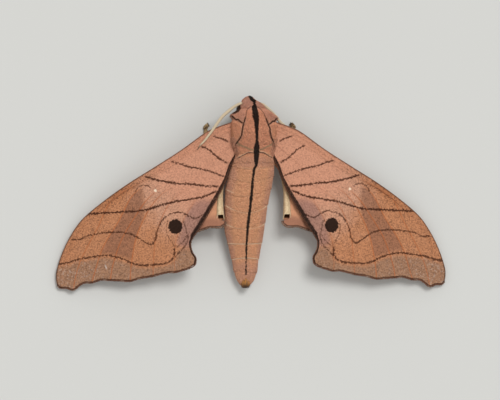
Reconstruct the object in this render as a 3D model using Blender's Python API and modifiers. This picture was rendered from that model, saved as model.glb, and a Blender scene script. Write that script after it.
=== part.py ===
"""A crested hawk moth at rest on the floor, life size, wings spread to the sides.

Sizes are millimetres. X runs across the wings, Y from tail to head and Z up from the floor,
with the origin under the middle of the moth. Each finished mesh is scaled to metres.
"""

import math
import random

import bmesh
import bpy
import numpy as np
from mathutils import Matrix, Vector

NAME = "hawk_moth"
MM = 0.001

# Clear gap that neighbouring nodes keep
GAP = 0.3

# Body: y, half width, underside, back, and sideways bend of the middle line
HEAD_STATIONS = (
    (22.45, 0.50, 4.7, 5.5, -0.42),
    (22.0, 1.15, 4.4, 6.4, -0.38),
    (21.4, 1.85, 4.0, 7.5, -0.28),
    (20.7, 2.40, 3.7, 8.3, -0.12),
    (20.05, 2.75, 3.6, 8.8, 0.0),
)
THORAX_STATIONS = (
    (19.75, 2.9, 3.7, 9.0, 0.0),
    (19.35, 4.0, 3.5, 9.7, 0.0),
    (18.5, 4.85, 3.3, 11.0, 0.0),
    (17.0, 5.4, 3.2, 12.3, 0.0),
    (14.5, 5.6, 3.1, 13.1, 0.0),
    (12.2, 5.35, 3.1, 12.9, 0.0),
    (10.0, 4.9, 3.2, 12.1, 0.0),
    (8.5, 4.7, 3.3, 11.5, 0.0),
)
ABDOMEN_STATIONS = (
    (8.2, 4.7, 3.4, 11.3, 0.0),
    (5.0, 5.30, 2.9, 10.7, -0.4),
    (1.5, 5.45, 2.4, 9.9, -1.0),
    (-1.8, 5.15, 2.0, 9.2, -1.4),
    (-5.2, 4.90, 1.6, 8.4, -1.7),
    (-8.9, 4.65, 1.35, 7.6, -2.0),
    (-11.3, 4.25, 1.25, 6.9, -2.05),
    (-13.6, 3.70, 1.2, 6.2, -2.0),
    (-16.0, 3.20, 1.2, 5.5, -1.9),
    (-18.4, 2.70, 1.2, 4.9, -1.8),
    (-20.3, 1.95, 1.4, 4.2, -1.75),
)
THORAX_ROOF = 1.6
ROUND = 2.0
SEGMENT_JOINTS = (5.4, 2.4, -1.0, -4.9, -8.7, -12.2, -15.4, -18.2)
JOINT_DEPTH = 0.22
JOINT_HALF_WIDTH = 0.45

# Shoulder plates on the thorax: inner edge (y, distance from the middle line) and their rise
TEGULA_INNER_EDGE = ((8.0, 5.6), (10.6, 4.7), (12.5, 3.9), (16.0, 2.9), (19.6, 1.6))
TEGULA_ENDS = (9.6, 19.3)
TEGULA_RISE = 0.45
TEGULA_FADE = 1.5
TEGULA_FLOOR = 6.6

# Head: eyes, palps and feelers
EYE_RADIUS = 1.35
EYE_PLACE = (2.3, 20.75, 5.8)
PALP_ROUTE = ((1.15, 20.6, 3.5), (1.2, 21.3, 3.4), (0.95, 22.1, 3.7), (0.6, 22.75, 4.5))
PALP_RADII = (0.55, 0.75, 0.65, 0.35)
HEAD_TURN = -0.35
FEELER_RADII = (0.30, 0.36, 0.38, 0.36, 0.32, 0.27, 0.20)
LEFT_FEELER = ((1.5, 20.5), (2.7, 21.0), (4.67, 20.1), (6.41, 19.05), (7.82, 17.8), (8.87, 16.45),
               (9.92, 15.06), (10.96, 13.7), (12.0, 12.3), (13.06, 11.2), (13.7, 10.2))
FEELER_BASE_HEIGHT = 7.3
RIGHT_FEELER = ((0.9, 20.5, 7.3), (1.6, 21.15, 7.2), (2.9, 20.75, 6.8), (4.7, 19.75, 6.3),
                (5.85, 18.5, 5.9), (6.75, 17.0, 5.6), (8.3, 15.1, 5.3), (10.4, 13.2, 5.1),
                (12.4, 11.4, 5.0))

# Tail brush
TAIL_BRUSH_END = -22.7
TAIL_BRUSH_CORE = ((-20.6, 1.85, 1.5, 4.05, -1.75), (-21.3, 1.5, 1.6, 3.7, -1.75),
                   (-21.9, 0.95, 1.8, 3.2, -1.75))
TAIL_LOCKS = 9
TAIL_LOCK_RADII = (0.42, 0.38, 0.14)
TAIL_LOCK_SPREAD = (0.72, 0.78, 0.5)

# Wing plane: height over the floor at the root, its fall outwards and backwards and the
# droop of the tip. Lines follow the margin's waves only near it.
WING_ROOT_HEIGHT = 8.9
WING_FALL = 0.17
WING_PITCH = 0.045
TIP_DROOP = 0.9
TIP_DROOP_SPAN = (34.0, 46.4)
MEMBRANE = 0.5
VEIN_THICKNESS = 0.95
VEIN_FOOT = 0.5
WING_STEPS = 14
MARGIN_FADE = 6
RIDGE_ONSET = (-0.08, 0.04)

# Forewing, right side, seen from above: each vein's course from the body to the outer margin,
# with the step at which its ridge begins and the number of plain lines before the next vein
FOREWING_VEINS = (
    ("costa", 1.0, 0, ((5.0, 16.6), (8.5, 15.4), (11.5, 14.0), (17.1, 10.0), (23.4, 6.0), (29.8, 2.0),
                       (35.4, -2.0), (40.1, -6.0), (42.95, -10.0), (44.9, -14.0), (46.2, -18.0),
                       (46.36, -20.0), (46.1, -21.5))),
    ("radial", 0.0, 2, ((4.8, 15.9), (10.8, 13.3), (16.7, 9.2), (23.0, 5.1), (29.1, 1.1), (34.6, -2.8),
                        (39.1, -6.7), (41.9, -10.6), (43.8, -14.6), (44.9, -18.5), (45.3, -22.1))),
    ("radial_5", 0.0, 1, ((4.7, 15.1), (12.0, 11.3), (20.0, 6.0), (27.0, 2.2), (32.9, -1.0),
                          (36.6, -7.9), (40.2, -14.7), (41.6, -18.5), (42.5, -22.6))),
    ("medial_1", 0.5, 2, ((4.6, 14.4), (12.0, 9.9), (20.0, 4.7), (27.8, 0.2), (31.7, -6.4),
                          (35.6, -12.9), (38.2, -20.9))),
    ("medial_2", 0.5, 2, ((4.45, 13.6), (12.0, 8.6), (19.0, 3.2), (24.6, -1.0), (28.2, -5.9),
                          (31.3, -11.2), (33.3, -17.0), (33.9, -20.35))),
    ("medial_3", 0.45, 2, ((4.3, 12.9), (11.0, 8.1), (16.8, 2.8), (21.4, 0.0), (24.9, -4.2),
                           (27.7, -10.3), (29.0, -16.9), (29.3, -20.6))),
    ("cubital_1", 0.0, 2, ((4.15, 12.2), (10.5, 6.9), (15.6, 1.3), (20.0, -2.6), (22.9, -9.0),
                           (23.8, -15.6), (24.0, -19.5))),
    ("cubital_2", 0.4, 1, ((4.0, 11.5), (9.5, 5.4), (13.5, -1.0), (16.8, -6.5), (18.6, -11.5),
                           (18.95, -15.5), (18.9, -18.65))),
    ("anal", 0.0, 0, ((3.85, 10.7), (8.0, 3.2), (11.7, -3.6), (14.6, -8.7), (16.3, -12.2),
                      (15.6, -15.2), (15.6, -17.7))),
    ("inner_margin", 1.0, 0, ((3.7, 9.9), (5.7, 6.4), (6.9, 3.0), (8.6, -0.4), (11.0, -4.6),
                              (13.5, -8.65), (14.7, -10.4), (15.3, -12.0), (14.9, -14.0),
                              (14.1, -15.4), (14.3, -16.9))),
)
FOREWING_MARGIN = (
    (46.1, -21.5), (45.3, -22.1), (44.0, -22.1), (42.5, -22.6), (41.3, -21.75), (40.0, -20.95),
    (38.2, -20.9), (36.0, -20.25), (33.9, -20.35), (31.5, -20.5), (29.3, -20.6), (27.0, -19.95),
    (25.0, -19.65), (24.0, -19.5), (22.0, -18.95), (20.4, -18.6), (18.9, -18.65), (17.0, -18.15),
    (15.6, -17.7), (14.3, -16.9),
)

# Hindwing, right side, mostly under the forewing, and its rolled inner edge
HINDWING_DROP = 1.35
HINDWING_VEINS = (
    ("costa", 1.0, 1, ((4.0, 11.0), (10.0, 9.6), (17.0, 7.2), (24.0, 4.2), (27.0, 2.0))),
    ("radial", 0.0, 1, ((3.9, 10.5), (11.0, 7.6), (18.0, 4.2), (25.4, -1.0))),
    ("medial_1", 0.3, 1, ((3.8, 10.0), (11.0, 5.8), (17.5, 1.2), (22.4, -4.8))),
    ("medial_3", 0.3, 1, ((3.75, 9.5), (10.5, 4.2), (15.8, -1.5), (19.2, -7.4))),
    ("cubital", 0.0, 1, ((3.7, 9.0), (9.5, 3.0), (13.3, -3.2), (15.6, -9.2))),
    ("anal_1", 0.0, 1, ((3.7, 8.5), (8.4, 2.6), (10.8, -3.0), (11.9, -8.5))),
    ("anal_margin", 1.0, 0, ((3.7, 8.0), (6.3, 4.6), (7.4, 1.0), (7.8, -3.0), (7.7, -7.75))),
)
HINDWING_MARGIN = (
    (27.0, 2.0), (26.6, 0.4), (25.4, -1.0), (22.4, -4.8), (19.2, -7.4), (15.6, -9.2), (13.6, -9.05),
    (11.9, -8.5), (10.6, -8.05), (9.5, -8.05), (8.5, -8.25), (7.7, -7.75),
)
HINDWING_STEPS = 10
ROLLED_EDGE = ((6.1, 5.6, 0.30), (6.9, 3.0, 0.42), (7.55, 0.2, 0.62), (7.85, -2.5, 0.76),
               (7.9, -5.3, 0.85))
ROLLED_EDGE_DROP = 0.55

# Legs, right side: body, knee, heel and claw, with the radius at each
LEG_ROUTES = {
    "fore": ((1.9, 16.6, 4.3), (4.6, 15.4, 2.6), (7.5, 13.2, 4.1), (9.5, 12.7, 1.3), (10.2, 13.7, 0.24),
             (10.4, 15.0, 0.24), (10.6, 16.3, 0.24)),
    "mid": ((2.3, 13.2, 4.2), (5.4, 12.0, 2.3), (8.8, 10.2, 4.0), (11.5, 7.4, 1.2), (12.6, 6.2, 0.24),
            (13.6, 5.0, 0.24), (14.6, 3.7, 0.24)),
    "hind": ((2.3, 10.4, 4.2), (4.6, 8.4, 2.1), (7.6, 5.0, 3.4), (9.3, -1.0, 1.1), (9.6, -2.6, 0.24),
             (10.1, -4.8, 0.24), (10.6, -7.1, 0.24)),
}
LEG_RADII = (0.8, 0.72, 0.55, 0.42, 0.36, 0.33, 0.3)
LEG_STEPS = 15
LEG_SIDES = 7
CLAW_LENGTH = 0.85
CLAW_RADIUS = 0.2
CLAW_SPREAD = 0.45
CLAW_ARCH = 0.1

BODY_SIDES = 22
THORAX_ROWS = 13
HEAD_ROWS = 8
EYE_SEGMENTS = (12, 8)
CURVE_STEPS = 12
BODY_SAMPLES = 80
TUBE_SAMPLES = 60
MARGIN_SAMPLES = 400
WELD = 1e-4
SMOOTH_ANGLE = math.radians(50)
RANDOM_SEED = 7

PINK_BROWN = (0.48, 0.25, 0.16, 1.0)
FINISHES = {
    "head": ((0.42, 0.21, 0.14, 1.0), 0.9),
    "thorax": (PINK_BROWN, 0.9),
    "abdomen": (PINK_BROWN, 0.88),
    "tail_tuft": ((0.36, 0.17, 0.05, 1.0), 0.85),
    "eye": ((0.02, 0.014, 0.01, 1.0), 0.2),
    "palp": ((0.30, 0.14, 0.10, 1.0), 0.9),
    "antenna": ((0.50, 0.40, 0.28, 1.0), 0.7),
    "forewing": ((0.44, 0.22, 0.13, 1.0), 0.85),
    "hindwing": ((0.50, 0.27, 0.19, 1.0), 0.88),
    "leg": ((0.33, 0.24, 0.15, 1.0), 0.8),
}


def remove_everything():
    """Empties the scene of objects."""
    for found in list(bpy.data.objects):
        bpy.data.objects.remove(found, do_unlink=True)


def new_collection(name, hidden=False):
    """A collection in the scene, hidden from renders where asked."""
    collection = bpy.data.collections.new(name)
    bpy.context.scene.collection.children.link(collection)
    collection.hide_render = hidden
    return collection


def smooth_path(points, count):
    """Evenly spaced points on a smooth curve through the given points."""
    points = np.array(points, dtype=float)
    ends = np.vstack([2 * points[0] - points[1], points, 2 * points[-1] - points[-2]])
    dense = []
    for index in range(1, len(ends) - 2):
        before, start, end, after = ends[index - 1:index + 3]
        for step in np.linspace(0.0, 1.0, CURVE_STEPS, endpoint=False):
            dense.append(0.5 * (2 * start + (end - before) * step
                                + (2 * before - 5 * start + 4 * end - after) * step ** 2
                                + (3 * start - before - 3 * end + after) * step ** 3))
    dense.append(points[-1])
    dense = np.array(dense)
    lengths = np.concatenate([[0.0], np.cumsum(np.linalg.norm(np.diff(dense, axis=0), axis=1))])
    wanted = np.linspace(0.0, lengths[-1], count)
    return np.stack([np.interp(wanted, lengths, column) for column in dense.T], axis=1)


def ease(value, low, high):
    """0 below low, 1 above high and a smooth rise between."""
    share = min(max((value - low) / (high - low), 0.0), 1.0)
    return share * share * (3.0 - 2.0 * share)


def new_object(name, mesh_maker, collection):
    """An object made of a bmesh, which is freed."""
    mesh = bpy.data.meshes.new(name)
    mesh_maker.normal_update()
    mesh_maker.to_mesh(mesh)
    mesh_maker.free()
    made = bpy.data.objects.new(name, mesh)
    collection.objects.link(made)
    return made


def loft(rings):
    """A closed bmesh through rings of equal point counts, with flat ends."""
    maker = bmesh.new()
    loops = [[maker.verts.new(point) for point in ring] for ring in rings]
    for near, far in zip(loops, loops[1:]):
        for index in range(len(near)):
            after = (index + 1) % len(near)
            maker.faces.new((near[index], near[after], far[after], far[index]))
    maker.faces.new(loops[0][::-1])
    maker.faces.new(loops[-1])
    bmesh.ops.recalc_face_normals(maker, faces=maker.faces)
    bmesh.ops.triangulate(maker, faces=[face for face in maker.faces if len(face.verts) > 4])
    return maker


def body_ring(y, half_width, underside, back, middle, roof=ROUND, raise_by=None):
    """One cross section of the body, a rounded oval whose upper half may be roof shaped."""
    centre = (underside + back) / 2
    half_height = (back - underside) / 2
    ring = []
    for index in range(BODY_SIDES):
        angle = 2 * math.pi * index / BODY_SIDES
        across, up = math.cos(angle), math.sin(angle)
        power = roof if up > 0 else ROUND
        x = math.copysign(abs(across) ** (2 / power), across) * half_width
        z = math.copysign(abs(up) ** (2 / power), up) * half_height
        if raise_by is not None:
            rise = raise_by(y, x, centre + z)
            out = Vector((x / half_width, 0, z / half_height)).normalized() * rise
            x, z = x + out.x, z + out.z
        ring.append((middle + x, y, centre + z))
    return ring


def body_rings(stations, places, roof=ROUND, raise_by=None):
    """Cross sections at the given places along y, smoothed between the stations."""
    profile = smooth_path(stations, BODY_SAMPLES)[::-1]
    rings = []
    for y in places:
        sizes = [np.interp(y, profile[:, 0], profile[:, column]) for column in range(1, 5)]
        rings.append(body_ring(y, *sizes, roof=roof, raise_by=raise_by))
    return rings


def tegula_rise(y, x, z):
    """How far the shoulder plates stand out of the thorax at a point of its surface."""
    heights, distances = zip(*TEGULA_INNER_EDGE)
    inner = np.interp(y, heights, distances)
    rear, front = TEGULA_ENDS
    along = ease(y, rear, rear + TEGULA_FADE) * (1 - ease(y, front - TEGULA_FADE, front))
    outward = ease(abs(x), inner - 0.3, inner + 0.5)
    return TEGULA_RISE * along * outward * ease(z, TEGULA_FLOOR - 1, TEGULA_FLOOR)


def make_thorax(collection):
    """The roof-backed thorax with its shoulder plates."""
    front, back = THORAX_STATIONS[0][0], THORAX_STATIONS[-1][0]
    nose = [front - depth for depth in (0.0, 0.2, 0.5)]
    places = nose + list(np.linspace(front - 1.2, back, THORAX_ROWS))
    rings = body_rings(THORAX_STATIONS, places, THORAX_ROOF, tegula_rise)
    return new_object("thorax", loft(rings), collection)


def make_abdomen(collection):
    """The tapering abdomen, grooved at the joints of its segments."""
    front, back = ABDOMEN_STATIONS[0][0], ABDOMEN_STATIONS[-1][0]
    places = [front, back]
    for joint in SEGMENT_JOINTS:
        places += [joint + JOINT_HALF_WIDTH, joint, joint - JOINT_HALF_WIDTH]

    def groove(y, _x, _z):
        """How far the surface lies back at y."""
        at_joint = any(abs(y - joint) < JOINT_HALF_WIDTH / 2 for joint in SEGMENT_JOINTS)
        return -JOINT_DEPTH if at_joint else 0.0

    rings = body_rings(ABDOMEN_STATIONS, sorted(places, reverse=True), ROUND, groove)
    return new_object("abdomen", loft(rings), collection)


def make_head(collection):
    """The short wedge of the head."""
    places = np.linspace(HEAD_STATIONS[0][0], HEAD_STATIONS[-1][0], HEAD_ROWS)
    return new_object("head", loft(body_rings(HEAD_STATIONS, places)), collection)


def make_ball(name, place, radius, collection):
    """A ball with its poles to the sides."""
    maker = bmesh.new()
    around, down = EYE_SEGMENTS
    bmesh.ops.create_uvsphere(maker, u_segments=around, v_segments=down, radius=radius,
                              matrix=Matrix.Translation(place) @ Matrix.Rotation(math.pi / 2, 4, "Y"))
    return new_object(name, maker, collection)


def tube_rings(route, radii, count, sides):
    """Rings round a smooth route, each turned square to it."""
    path = [Vector(point) for point in smooth_path(route, count)]
    spread = smooth_path([(float(index), radius) for index, radius in enumerate(radii)], TUBE_SAMPLES)
    sizes = np.interp(np.linspace(0, len(radii) - 1, count), spread[:, 0], spread[:, 1])
    rings = []
    side = None
    for index, point in enumerate(path):
        ahead = path[min(index + 1, count - 1)] - path[max(index - 1, 0)]
        ahead.normalize()
        guide = side if side is not None else Vector((0, 0, 1)).cross(ahead)
        side = (guide - ahead * guide.dot(ahead)).normalized()
        up = ahead.cross(side)
        rings.append([point + (side * math.cos(turn) + up * math.sin(turn)) * sizes[index]
                      for turn in (2 * math.pi * corner / sides for corner in range(sides))])
    return rings


def mirrored(route, sign):
    """A route on the side that the sign names."""
    return [(point[0] * sign, *point[1:]) for point in route]


def wing_height(x, y):
    """Height of the forewing's middle surface."""
    span = abs(x)
    droop = TIP_DROOP * ease(span, *TIP_DROOP_SPAN)
    return WING_ROOT_HEIGHT - WING_FALL * span - WING_PITCH * y - droop


def wing_lines(veins, margin, steps):
    """Lines along the wing: each vein, its two feet and the plain lines between veins."""
    margin_curve = smooth_path(margin, MARGIN_SAMPLES)
    courses = [smooth_path(points, steps + 1) for _, _, _, points in veins]
    ends = [int(np.argmin(np.linalg.norm(margin_curve - course[-1], axis=1))) for course in courses]
    before, after = RIDGE_ONSET
    lines = []
    for index, (_, start, plain, _) in enumerate(veins):
        ridge = [ease(step / steps, start + before, start + after) if start else 1.0
                 for step in range(steps + 1)]
        lines.append((courses[index], ridge))
        if index + 1 == len(veins):
            break
        here, there = courses[index], courses[index + 1]
        widths = np.linalg.norm(there - here, axis=1)
        foot = np.minimum(VEIN_FOOT / widths, 1 / (plain + 3))
        between = [np.full(steps + 1, number / (plain + 1)) for number in range(1, plain + 1)]
        shares = [foot, *between, 1 - foot]
        for share in shares:
            line = here + (there - here) * share[:, None]
            place = ends[index] + (ends[index + 1] - ends[index]) * share[-1]
            bulge = margin_curve[int(round(place))] - line[-1]
            fade = np.linspace(0, 1, steps + 1) ** MARGIN_FADE
            lines.append((line + bulge * fade[:, None], [0.0] * (steps + 1)))
    return lines


def make_membrane(name, veins, margin, steps, drop, sign, collection):
    """A thin wing whose veins are ridges raised in both of its faces."""
    lines = wing_lines(veins, margin, steps)
    maker = bmesh.new()
    layer = maker.verts.layers.deform.verify()
    bmesh.ops.create_grid(maker, x_segments=len(lines) - 1, y_segments=steps, size=1)
    rows = sorted(maker.verts, key=lambda vert: (round(vert.co.x, 4), round(vert.co.y, 4)))
    for index, vert in enumerate(rows):
        line, ridge = lines[index // (steps + 1)]
        step = index % (steps + 1)
        x, y = line[step]
        vert.co = (x * sign, y, wing_height(x, y) - drop)
        vert[layer][0] = float(ridge[step])
    bmesh.ops.triangulate(maker, faces=maker.faces)
    bmesh.ops.recalc_face_normals(maker, faces=maker.faces)
    made = new_object(name, maker, collection)
    made.vertex_groups.new(name="veins")
    wall = made.modifiers.new("wall", "SOLIDIFY")
    wall.thickness = VEIN_THICKNESS
    wall.offset = 0
    wall.vertex_group = "veins"
    wall.thickness_vertex_group = MEMBRANE / VEIN_THICKNESS
    apply_modifiers(made)
    turn_outwards(made)
    return made


def apply_modifiers(made):
    """Turns an object's modifiers into its mesh."""
    evaluated = made.evaluated_get(bpy.context.evaluated_depsgraph_get())
    mesh = bpy.data.meshes.new_from_object(evaluated)
    made.modifiers.clear()
    made.data = mesh


def turn_outwards(made):
    """Makes every face of a closed mesh look outwards."""
    maker = bmesh.new()
    maker.from_mesh(made.data)
    bmesh.ops.recalc_face_normals(maker, faces=maker.faces)
    if maker.calc_volume(signed=True) < 0:
        bmesh.ops.reverse_faces(maker, faces=maker.faces)
    maker.to_mesh(made.data)
    maker.free()


def grown_cutter(made, distance, cutters):
    """A hidden copy of a piece, bigger all round by the given distance."""
    maker = bmesh.new()
    maker.from_mesh(made.data)
    bmesh.ops.triangulate(maker, faces=maker.faces)
    maker.normal_update()
    moves = [(vert, vert.normal * distance * vert.calc_shell_factor()) for vert in maker.verts]
    for vert, move in moves:
        vert.co += move
    cutter = new_object(made.name + "_cutter", maker, cutters)
    cutter.display_type = "WIRE"
    cutter.hide_render = True
    return cutter


def keep_largest(made):
    """Drops every closed surface of a mesh but the largest, and welds its points."""
    maker = bmesh.new()
    maker.from_mesh(made.data)
    bmesh.ops.remove_doubles(maker, verts=maker.verts, dist=WELD)
    islands = []
    waiting = set(maker.faces)
    while waiting:
        queue = [waiting.pop()]
        island = []
        while queue:
            face = queue.pop()
            island.append(face)
            for edge in face.edges:
                for other in edge.link_faces:
                    if other in waiting:
                        waiting.remove(other)
                        queue.append(other)
        islands.append(island)
    islands.sort(key=lambda island: sum(face.calc_area() for face in island))
    extra = [face for island in islands[:-1] for face in island]
    bmesh.ops.delete(maker, geom=extra, context="FACES")
    bmesh.ops.triangulate(maker, faces=maker.faces)
    maker.to_mesh(made.data)
    maker.free()


def cut(made, *cutters):
    """Carves the cutters out of a piece, one by one."""
    for cutter in cutters:
        carve = made.modifiers.new("cut", "BOOLEAN")
        carve.operation = "DIFFERENCE"
        carve.solver = "EXACT"
        carve.object = cutter
        apply_modifiers(made)
    keep_largest(made)
    return made


def fuse(name, pieces, collection):
    """Joins closed pieces to one body with a single union."""
    first, *others = pieces
    group = bpy.data.collections.new(name + "_pieces")
    bpy.context.scene.collection.children.link(group)
    for piece in others:
        group.objects.link(piece)
        collection.objects.unlink(piece)
    union = first.modifiers.new("union", "BOOLEAN")
    union.operation = "UNION"
    union.solver = "EXACT"
    union.operand_type = "COLLECTION"
    union.collection = group
    apply_modifiers(first)
    for piece in others:
        bpy.data.objects.remove(piece, do_unlink=True)
    bpy.data.collections.remove(group)
    keep_largest(first)
    first.name = name
    return first


def make_forewing(side, sign, cutters, collection):
    """A forewing, kept clear of the body."""
    wing = make_membrane(f"forewing_{side}", FOREWING_VEINS, FOREWING_MARGIN, WING_STEPS, 0.0, sign,
                         collection)
    return cut(wing, *cutters)


def make_hindwing(side, sign, cutters, collection):
    """A hindwing with its inner edge rolled up, kept clear of the body."""
    membrane = make_membrane(f"hindwing_{side}", HINDWING_VEINS, HINDWING_MARGIN, HINDWING_STEPS,
                             HINDWING_DROP, sign, collection)
    drop = HINDWING_DROP + ROLLED_EDGE_DROP
    route = [(x * sign, y, wing_height(x, y) - drop) for x, y, _ in ROLLED_EDGE]
    radii = [radius for _, _, radius in ROLLED_EDGE]
    roll = new_object("roll", loft(tube_rings(route, radii, 9, 12)), collection)
    return cut(fuse(f"hindwing_{side}", [membrane, roll], collection), *cutters)


def flatten_foot(made):
    """Cuts the underside of a foot level with the floor."""
    maker = bmesh.new()
    maker.from_mesh(made.data)
    found = bmesh.ops.bisect_plane(maker, geom=maker.verts[:] + maker.edges[:] + maker.faces[:],
                                   dist=WELD / 10, plane_co=(0, 0, 0), plane_no=(0, 0, -1),
                                   clear_outer=True)
    rim = [item for item in found["geom_cut"] if isinstance(item, bmesh.types.BMEdge)]
    bmesh.ops.contextual_create(maker, geom=rim)
    bmesh.ops.triangulate(maker, faces=maker.faces)
    bmesh.ops.recalc_face_normals(maker, faces=maker.faces)
    maker.to_mesh(made.data)
    maker.free()


def make_leg(pair, side, sign, cutters, collection):
    """A leg that stands flat on the floor, with two claws."""
    route = mirrored(LEG_ROUTES[pair], sign)
    rings = tube_rings(route, LEG_RADII, LEG_STEPS, LEG_SIDES)
    leg = new_object(f"leg_{pair}_{side}", loft(rings), collection)
    flatten_foot(leg)
    toe, heel = Vector(route[-1]), Vector(route[-2])
    ahead = (toe - heel).normalized()
    across = ahead.cross(Vector((0, 0, 1)))
    claws = []
    for turn in (-1, 1):
        tip = toe + ahead * CLAW_LENGTH + across * turn * CLAW_SPREAD
        root = toe - ahead * CLAW_RADIUS + across * turn * CLAW_RADIUS / 2
        middle = (root + tip) / 2 + Vector((0, 0, CLAW_ARCH))
        rings = tube_rings((root, middle, tip), (CLAW_RADIUS, CLAW_RADIUS * 0.8, CLAW_RADIUS * 0.3), 4, 6)
        claws.append(new_object("claw", loft(rings), collection))
    leg = fuse(leg.name, [leg, *claws], collection)
    return cut(leg, *cutters)


def make_feeler(side, cutters, collection):
    """A feeler: the left lies over its wing, the right goes under its wing's front edge."""
    if side == "left":
        route = []
        for index, (x, y) in enumerate(LEFT_FEELER):
            on_wing = wing_height(x, y) + VEIN_THICKNESS / 2 + GAP + max(FEELER_RADII)
            share = ease(index, 2, 5)
            route.append((-x, y, FEELER_BASE_HEIGHT * (1 - share) + on_wing * share))
    else:
        route = RIGHT_FEELER
    feeler = new_object(f"antenna_{side}", loft(tube_rings(route, FEELER_RADII, 16, 8)), collection)
    return cut(feeler, *cutters)


def make_palp(side, sign, cutters, collection):
    """A palp, turned up against the face."""
    route = [(x * sign + HEAD_TURN, y, z) for x, y, z in PALP_ROUTE]
    palp = new_object(f"palp_{side}", loft(tube_rings(route, PALP_RADII, 7, 8)), collection)
    return cut(palp, *cutters)


def make_tail_tuft(collection):
    """A short brush of flat, tapered locks round a low core."""
    draw = random.Random(RANDOM_SEED)
    places = np.linspace(TAIL_BRUSH_CORE[0][0], TAIL_BRUSH_CORE[-1][0], 4)
    core = new_object("tail_tuft", loft(body_rings(TAIL_BRUSH_CORE, places)), collection)
    locks = []
    root_y, half_width, underside, back, middle = TAIL_BRUSH_CORE[1]
    height = (underside + back) / 2
    half_height = (back - underside) / 2
    root_spread, middle_spread, tip_spread = TAIL_LOCK_SPREAD
    for number in range(TAIL_LOCKS):
        turn = 2 * math.pi * number / TAIL_LOCKS
        out = Vector((math.cos(turn) * half_width, 0, math.sin(turn) * half_height))
        length = (TAIL_BRUSH_END - root_y) * draw.uniform(0.86, 1.0)
        centre = Vector((middle, root_y, height))
        route = (centre + out * root_spread, centre + out * middle_spread + Vector((0, length * 0.5, 0)),
                 centre + out * tip_spread + Vector((0, length, 0)))
        locks.append(new_object("lock", loft(tube_rings(route, TAIL_LOCK_RADII, 4, 5)), collection))
    return fuse("tail_tuft", [core, *locks], collection)


def paint(made, kind):
    """Gives a node its plain finish."""
    colour, roughness = FINISHES[kind]
    material = bpy.data.materials.new(made.name)
    material.use_nodes = True
    shader = material.node_tree.nodes["Principled BSDF"]
    shader.inputs["Base Color"].default_value = colour
    shader.inputs["Roughness"].default_value = roughness
    shader.inputs["Metallic"].default_value = 0.0
    made.data.materials.clear()
    made.data.materials.append(material)


def finish(made, kind):
    """Scales a node to metres, smooths it and paints it."""
    made.data.transform(Matrix.Scale(MM, 4))
    made.data.shade_smooth()
    made.data.set_sharp_from_angle(angle=SMOOTH_ANGLE)
    paint(made, kind)


def build_moth():
    """Builds every node, cutting each clear of what it would touch."""
    remove_everything()
    parts = new_collection(NAME)
    cutters = new_collection(NAME + "_cutters", hidden=True)

    made = {"thorax": [make_thorax(parts)], "abdomen": [make_abdomen(parts)], "head": [make_head(parts)]}
    thorax, abdomen, head = made["thorax"][0], made["abdomen"][0], made["head"][0]
    thorax_cutter = grown_cutter(thorax, GAP, cutters)
    abdomen_cutter = grown_cutter(abdomen, GAP, cutters)
    head_cutter = grown_cutter(head, GAP, cutters)

    sides = (("left", -1), ("right", 1))
    for kind in ("eye", "palp", "antenna", "forewing", "hindwing", "leg"):
        made[kind] = []
    eye_cutters = []
    for side, sign in sides:
        across, y, z = EYE_PLACE
        eye = make_ball(f"eye_{side}", (across * sign + HEAD_TURN / 2, y, z), EYE_RADIUS, parts)
        made["eye"].append(eye)
        eye_cutters.append(grown_cutter(eye, GAP, cutters))
    cut(head, *eye_cutters)
    cut(thorax, *eye_cutters)
    for side, sign in sides:
        made["palp"].append(make_palp(side, sign, [head_cutter, *eye_cutters], parts))
        made["antenna"].append(make_feeler(side, [head_cutter, *eye_cutters], parts))
        made["forewing"].append(make_forewing(side, sign, [thorax_cutter, abdomen_cutter], parts))
        made["hindwing"].append(make_hindwing(side, sign, [thorax_cutter, abdomen_cutter], parts))
        for pair in LEG_ROUTES:
            made["leg"].append(make_leg(pair, side, sign, [thorax_cutter, abdomen_cutter], parts))
    made["tail_tuft"] = [make_tail_tuft(parts)]

    for kind, pieces in made.items():
        for piece in pieces:
            finish(piece, kind)


build_moth()
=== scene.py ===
"""Looks of a life-size crested hawk moth at rest: scaled wings, furred body, feelers and legs.

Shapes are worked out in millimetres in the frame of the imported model, with X across the
wings, Y towards the head and Z up, and are scaled to metres as each mesh is made.
"""

from __future__ import annotations

import logging
import math
from dataclasses import dataclass
from enum import Enum
from typing import Callable, Sequence, Union

import bmesh
import bpy
import numpy as np
from mathutils import Matrix, Vector


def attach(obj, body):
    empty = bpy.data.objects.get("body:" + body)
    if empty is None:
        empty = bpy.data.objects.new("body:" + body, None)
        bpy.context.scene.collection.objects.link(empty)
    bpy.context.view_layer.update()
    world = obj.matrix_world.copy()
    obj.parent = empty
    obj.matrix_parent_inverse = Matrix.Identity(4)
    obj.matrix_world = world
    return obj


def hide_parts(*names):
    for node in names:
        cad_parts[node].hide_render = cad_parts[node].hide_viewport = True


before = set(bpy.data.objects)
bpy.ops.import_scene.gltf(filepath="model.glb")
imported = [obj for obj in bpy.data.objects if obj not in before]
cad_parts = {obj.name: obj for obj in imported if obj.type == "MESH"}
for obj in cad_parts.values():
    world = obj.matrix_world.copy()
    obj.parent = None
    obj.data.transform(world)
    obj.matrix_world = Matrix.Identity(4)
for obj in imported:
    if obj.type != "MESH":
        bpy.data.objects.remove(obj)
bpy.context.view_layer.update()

LOG = logging.getLogger("hawk_moth")
MM = 0.001
FULL_TURN = 2 * math.pi
UPWARD = np.array([0.0, 0.0, 1.0])
# Millimetres that count as nowhere near a marking.
FAR = 9.0
# Millimetres by which a drawn line runs on straight past its ends.
RUN_ON = 60.0
# Metres within which the points of a seam are one.
WELD = 1e-6


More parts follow.
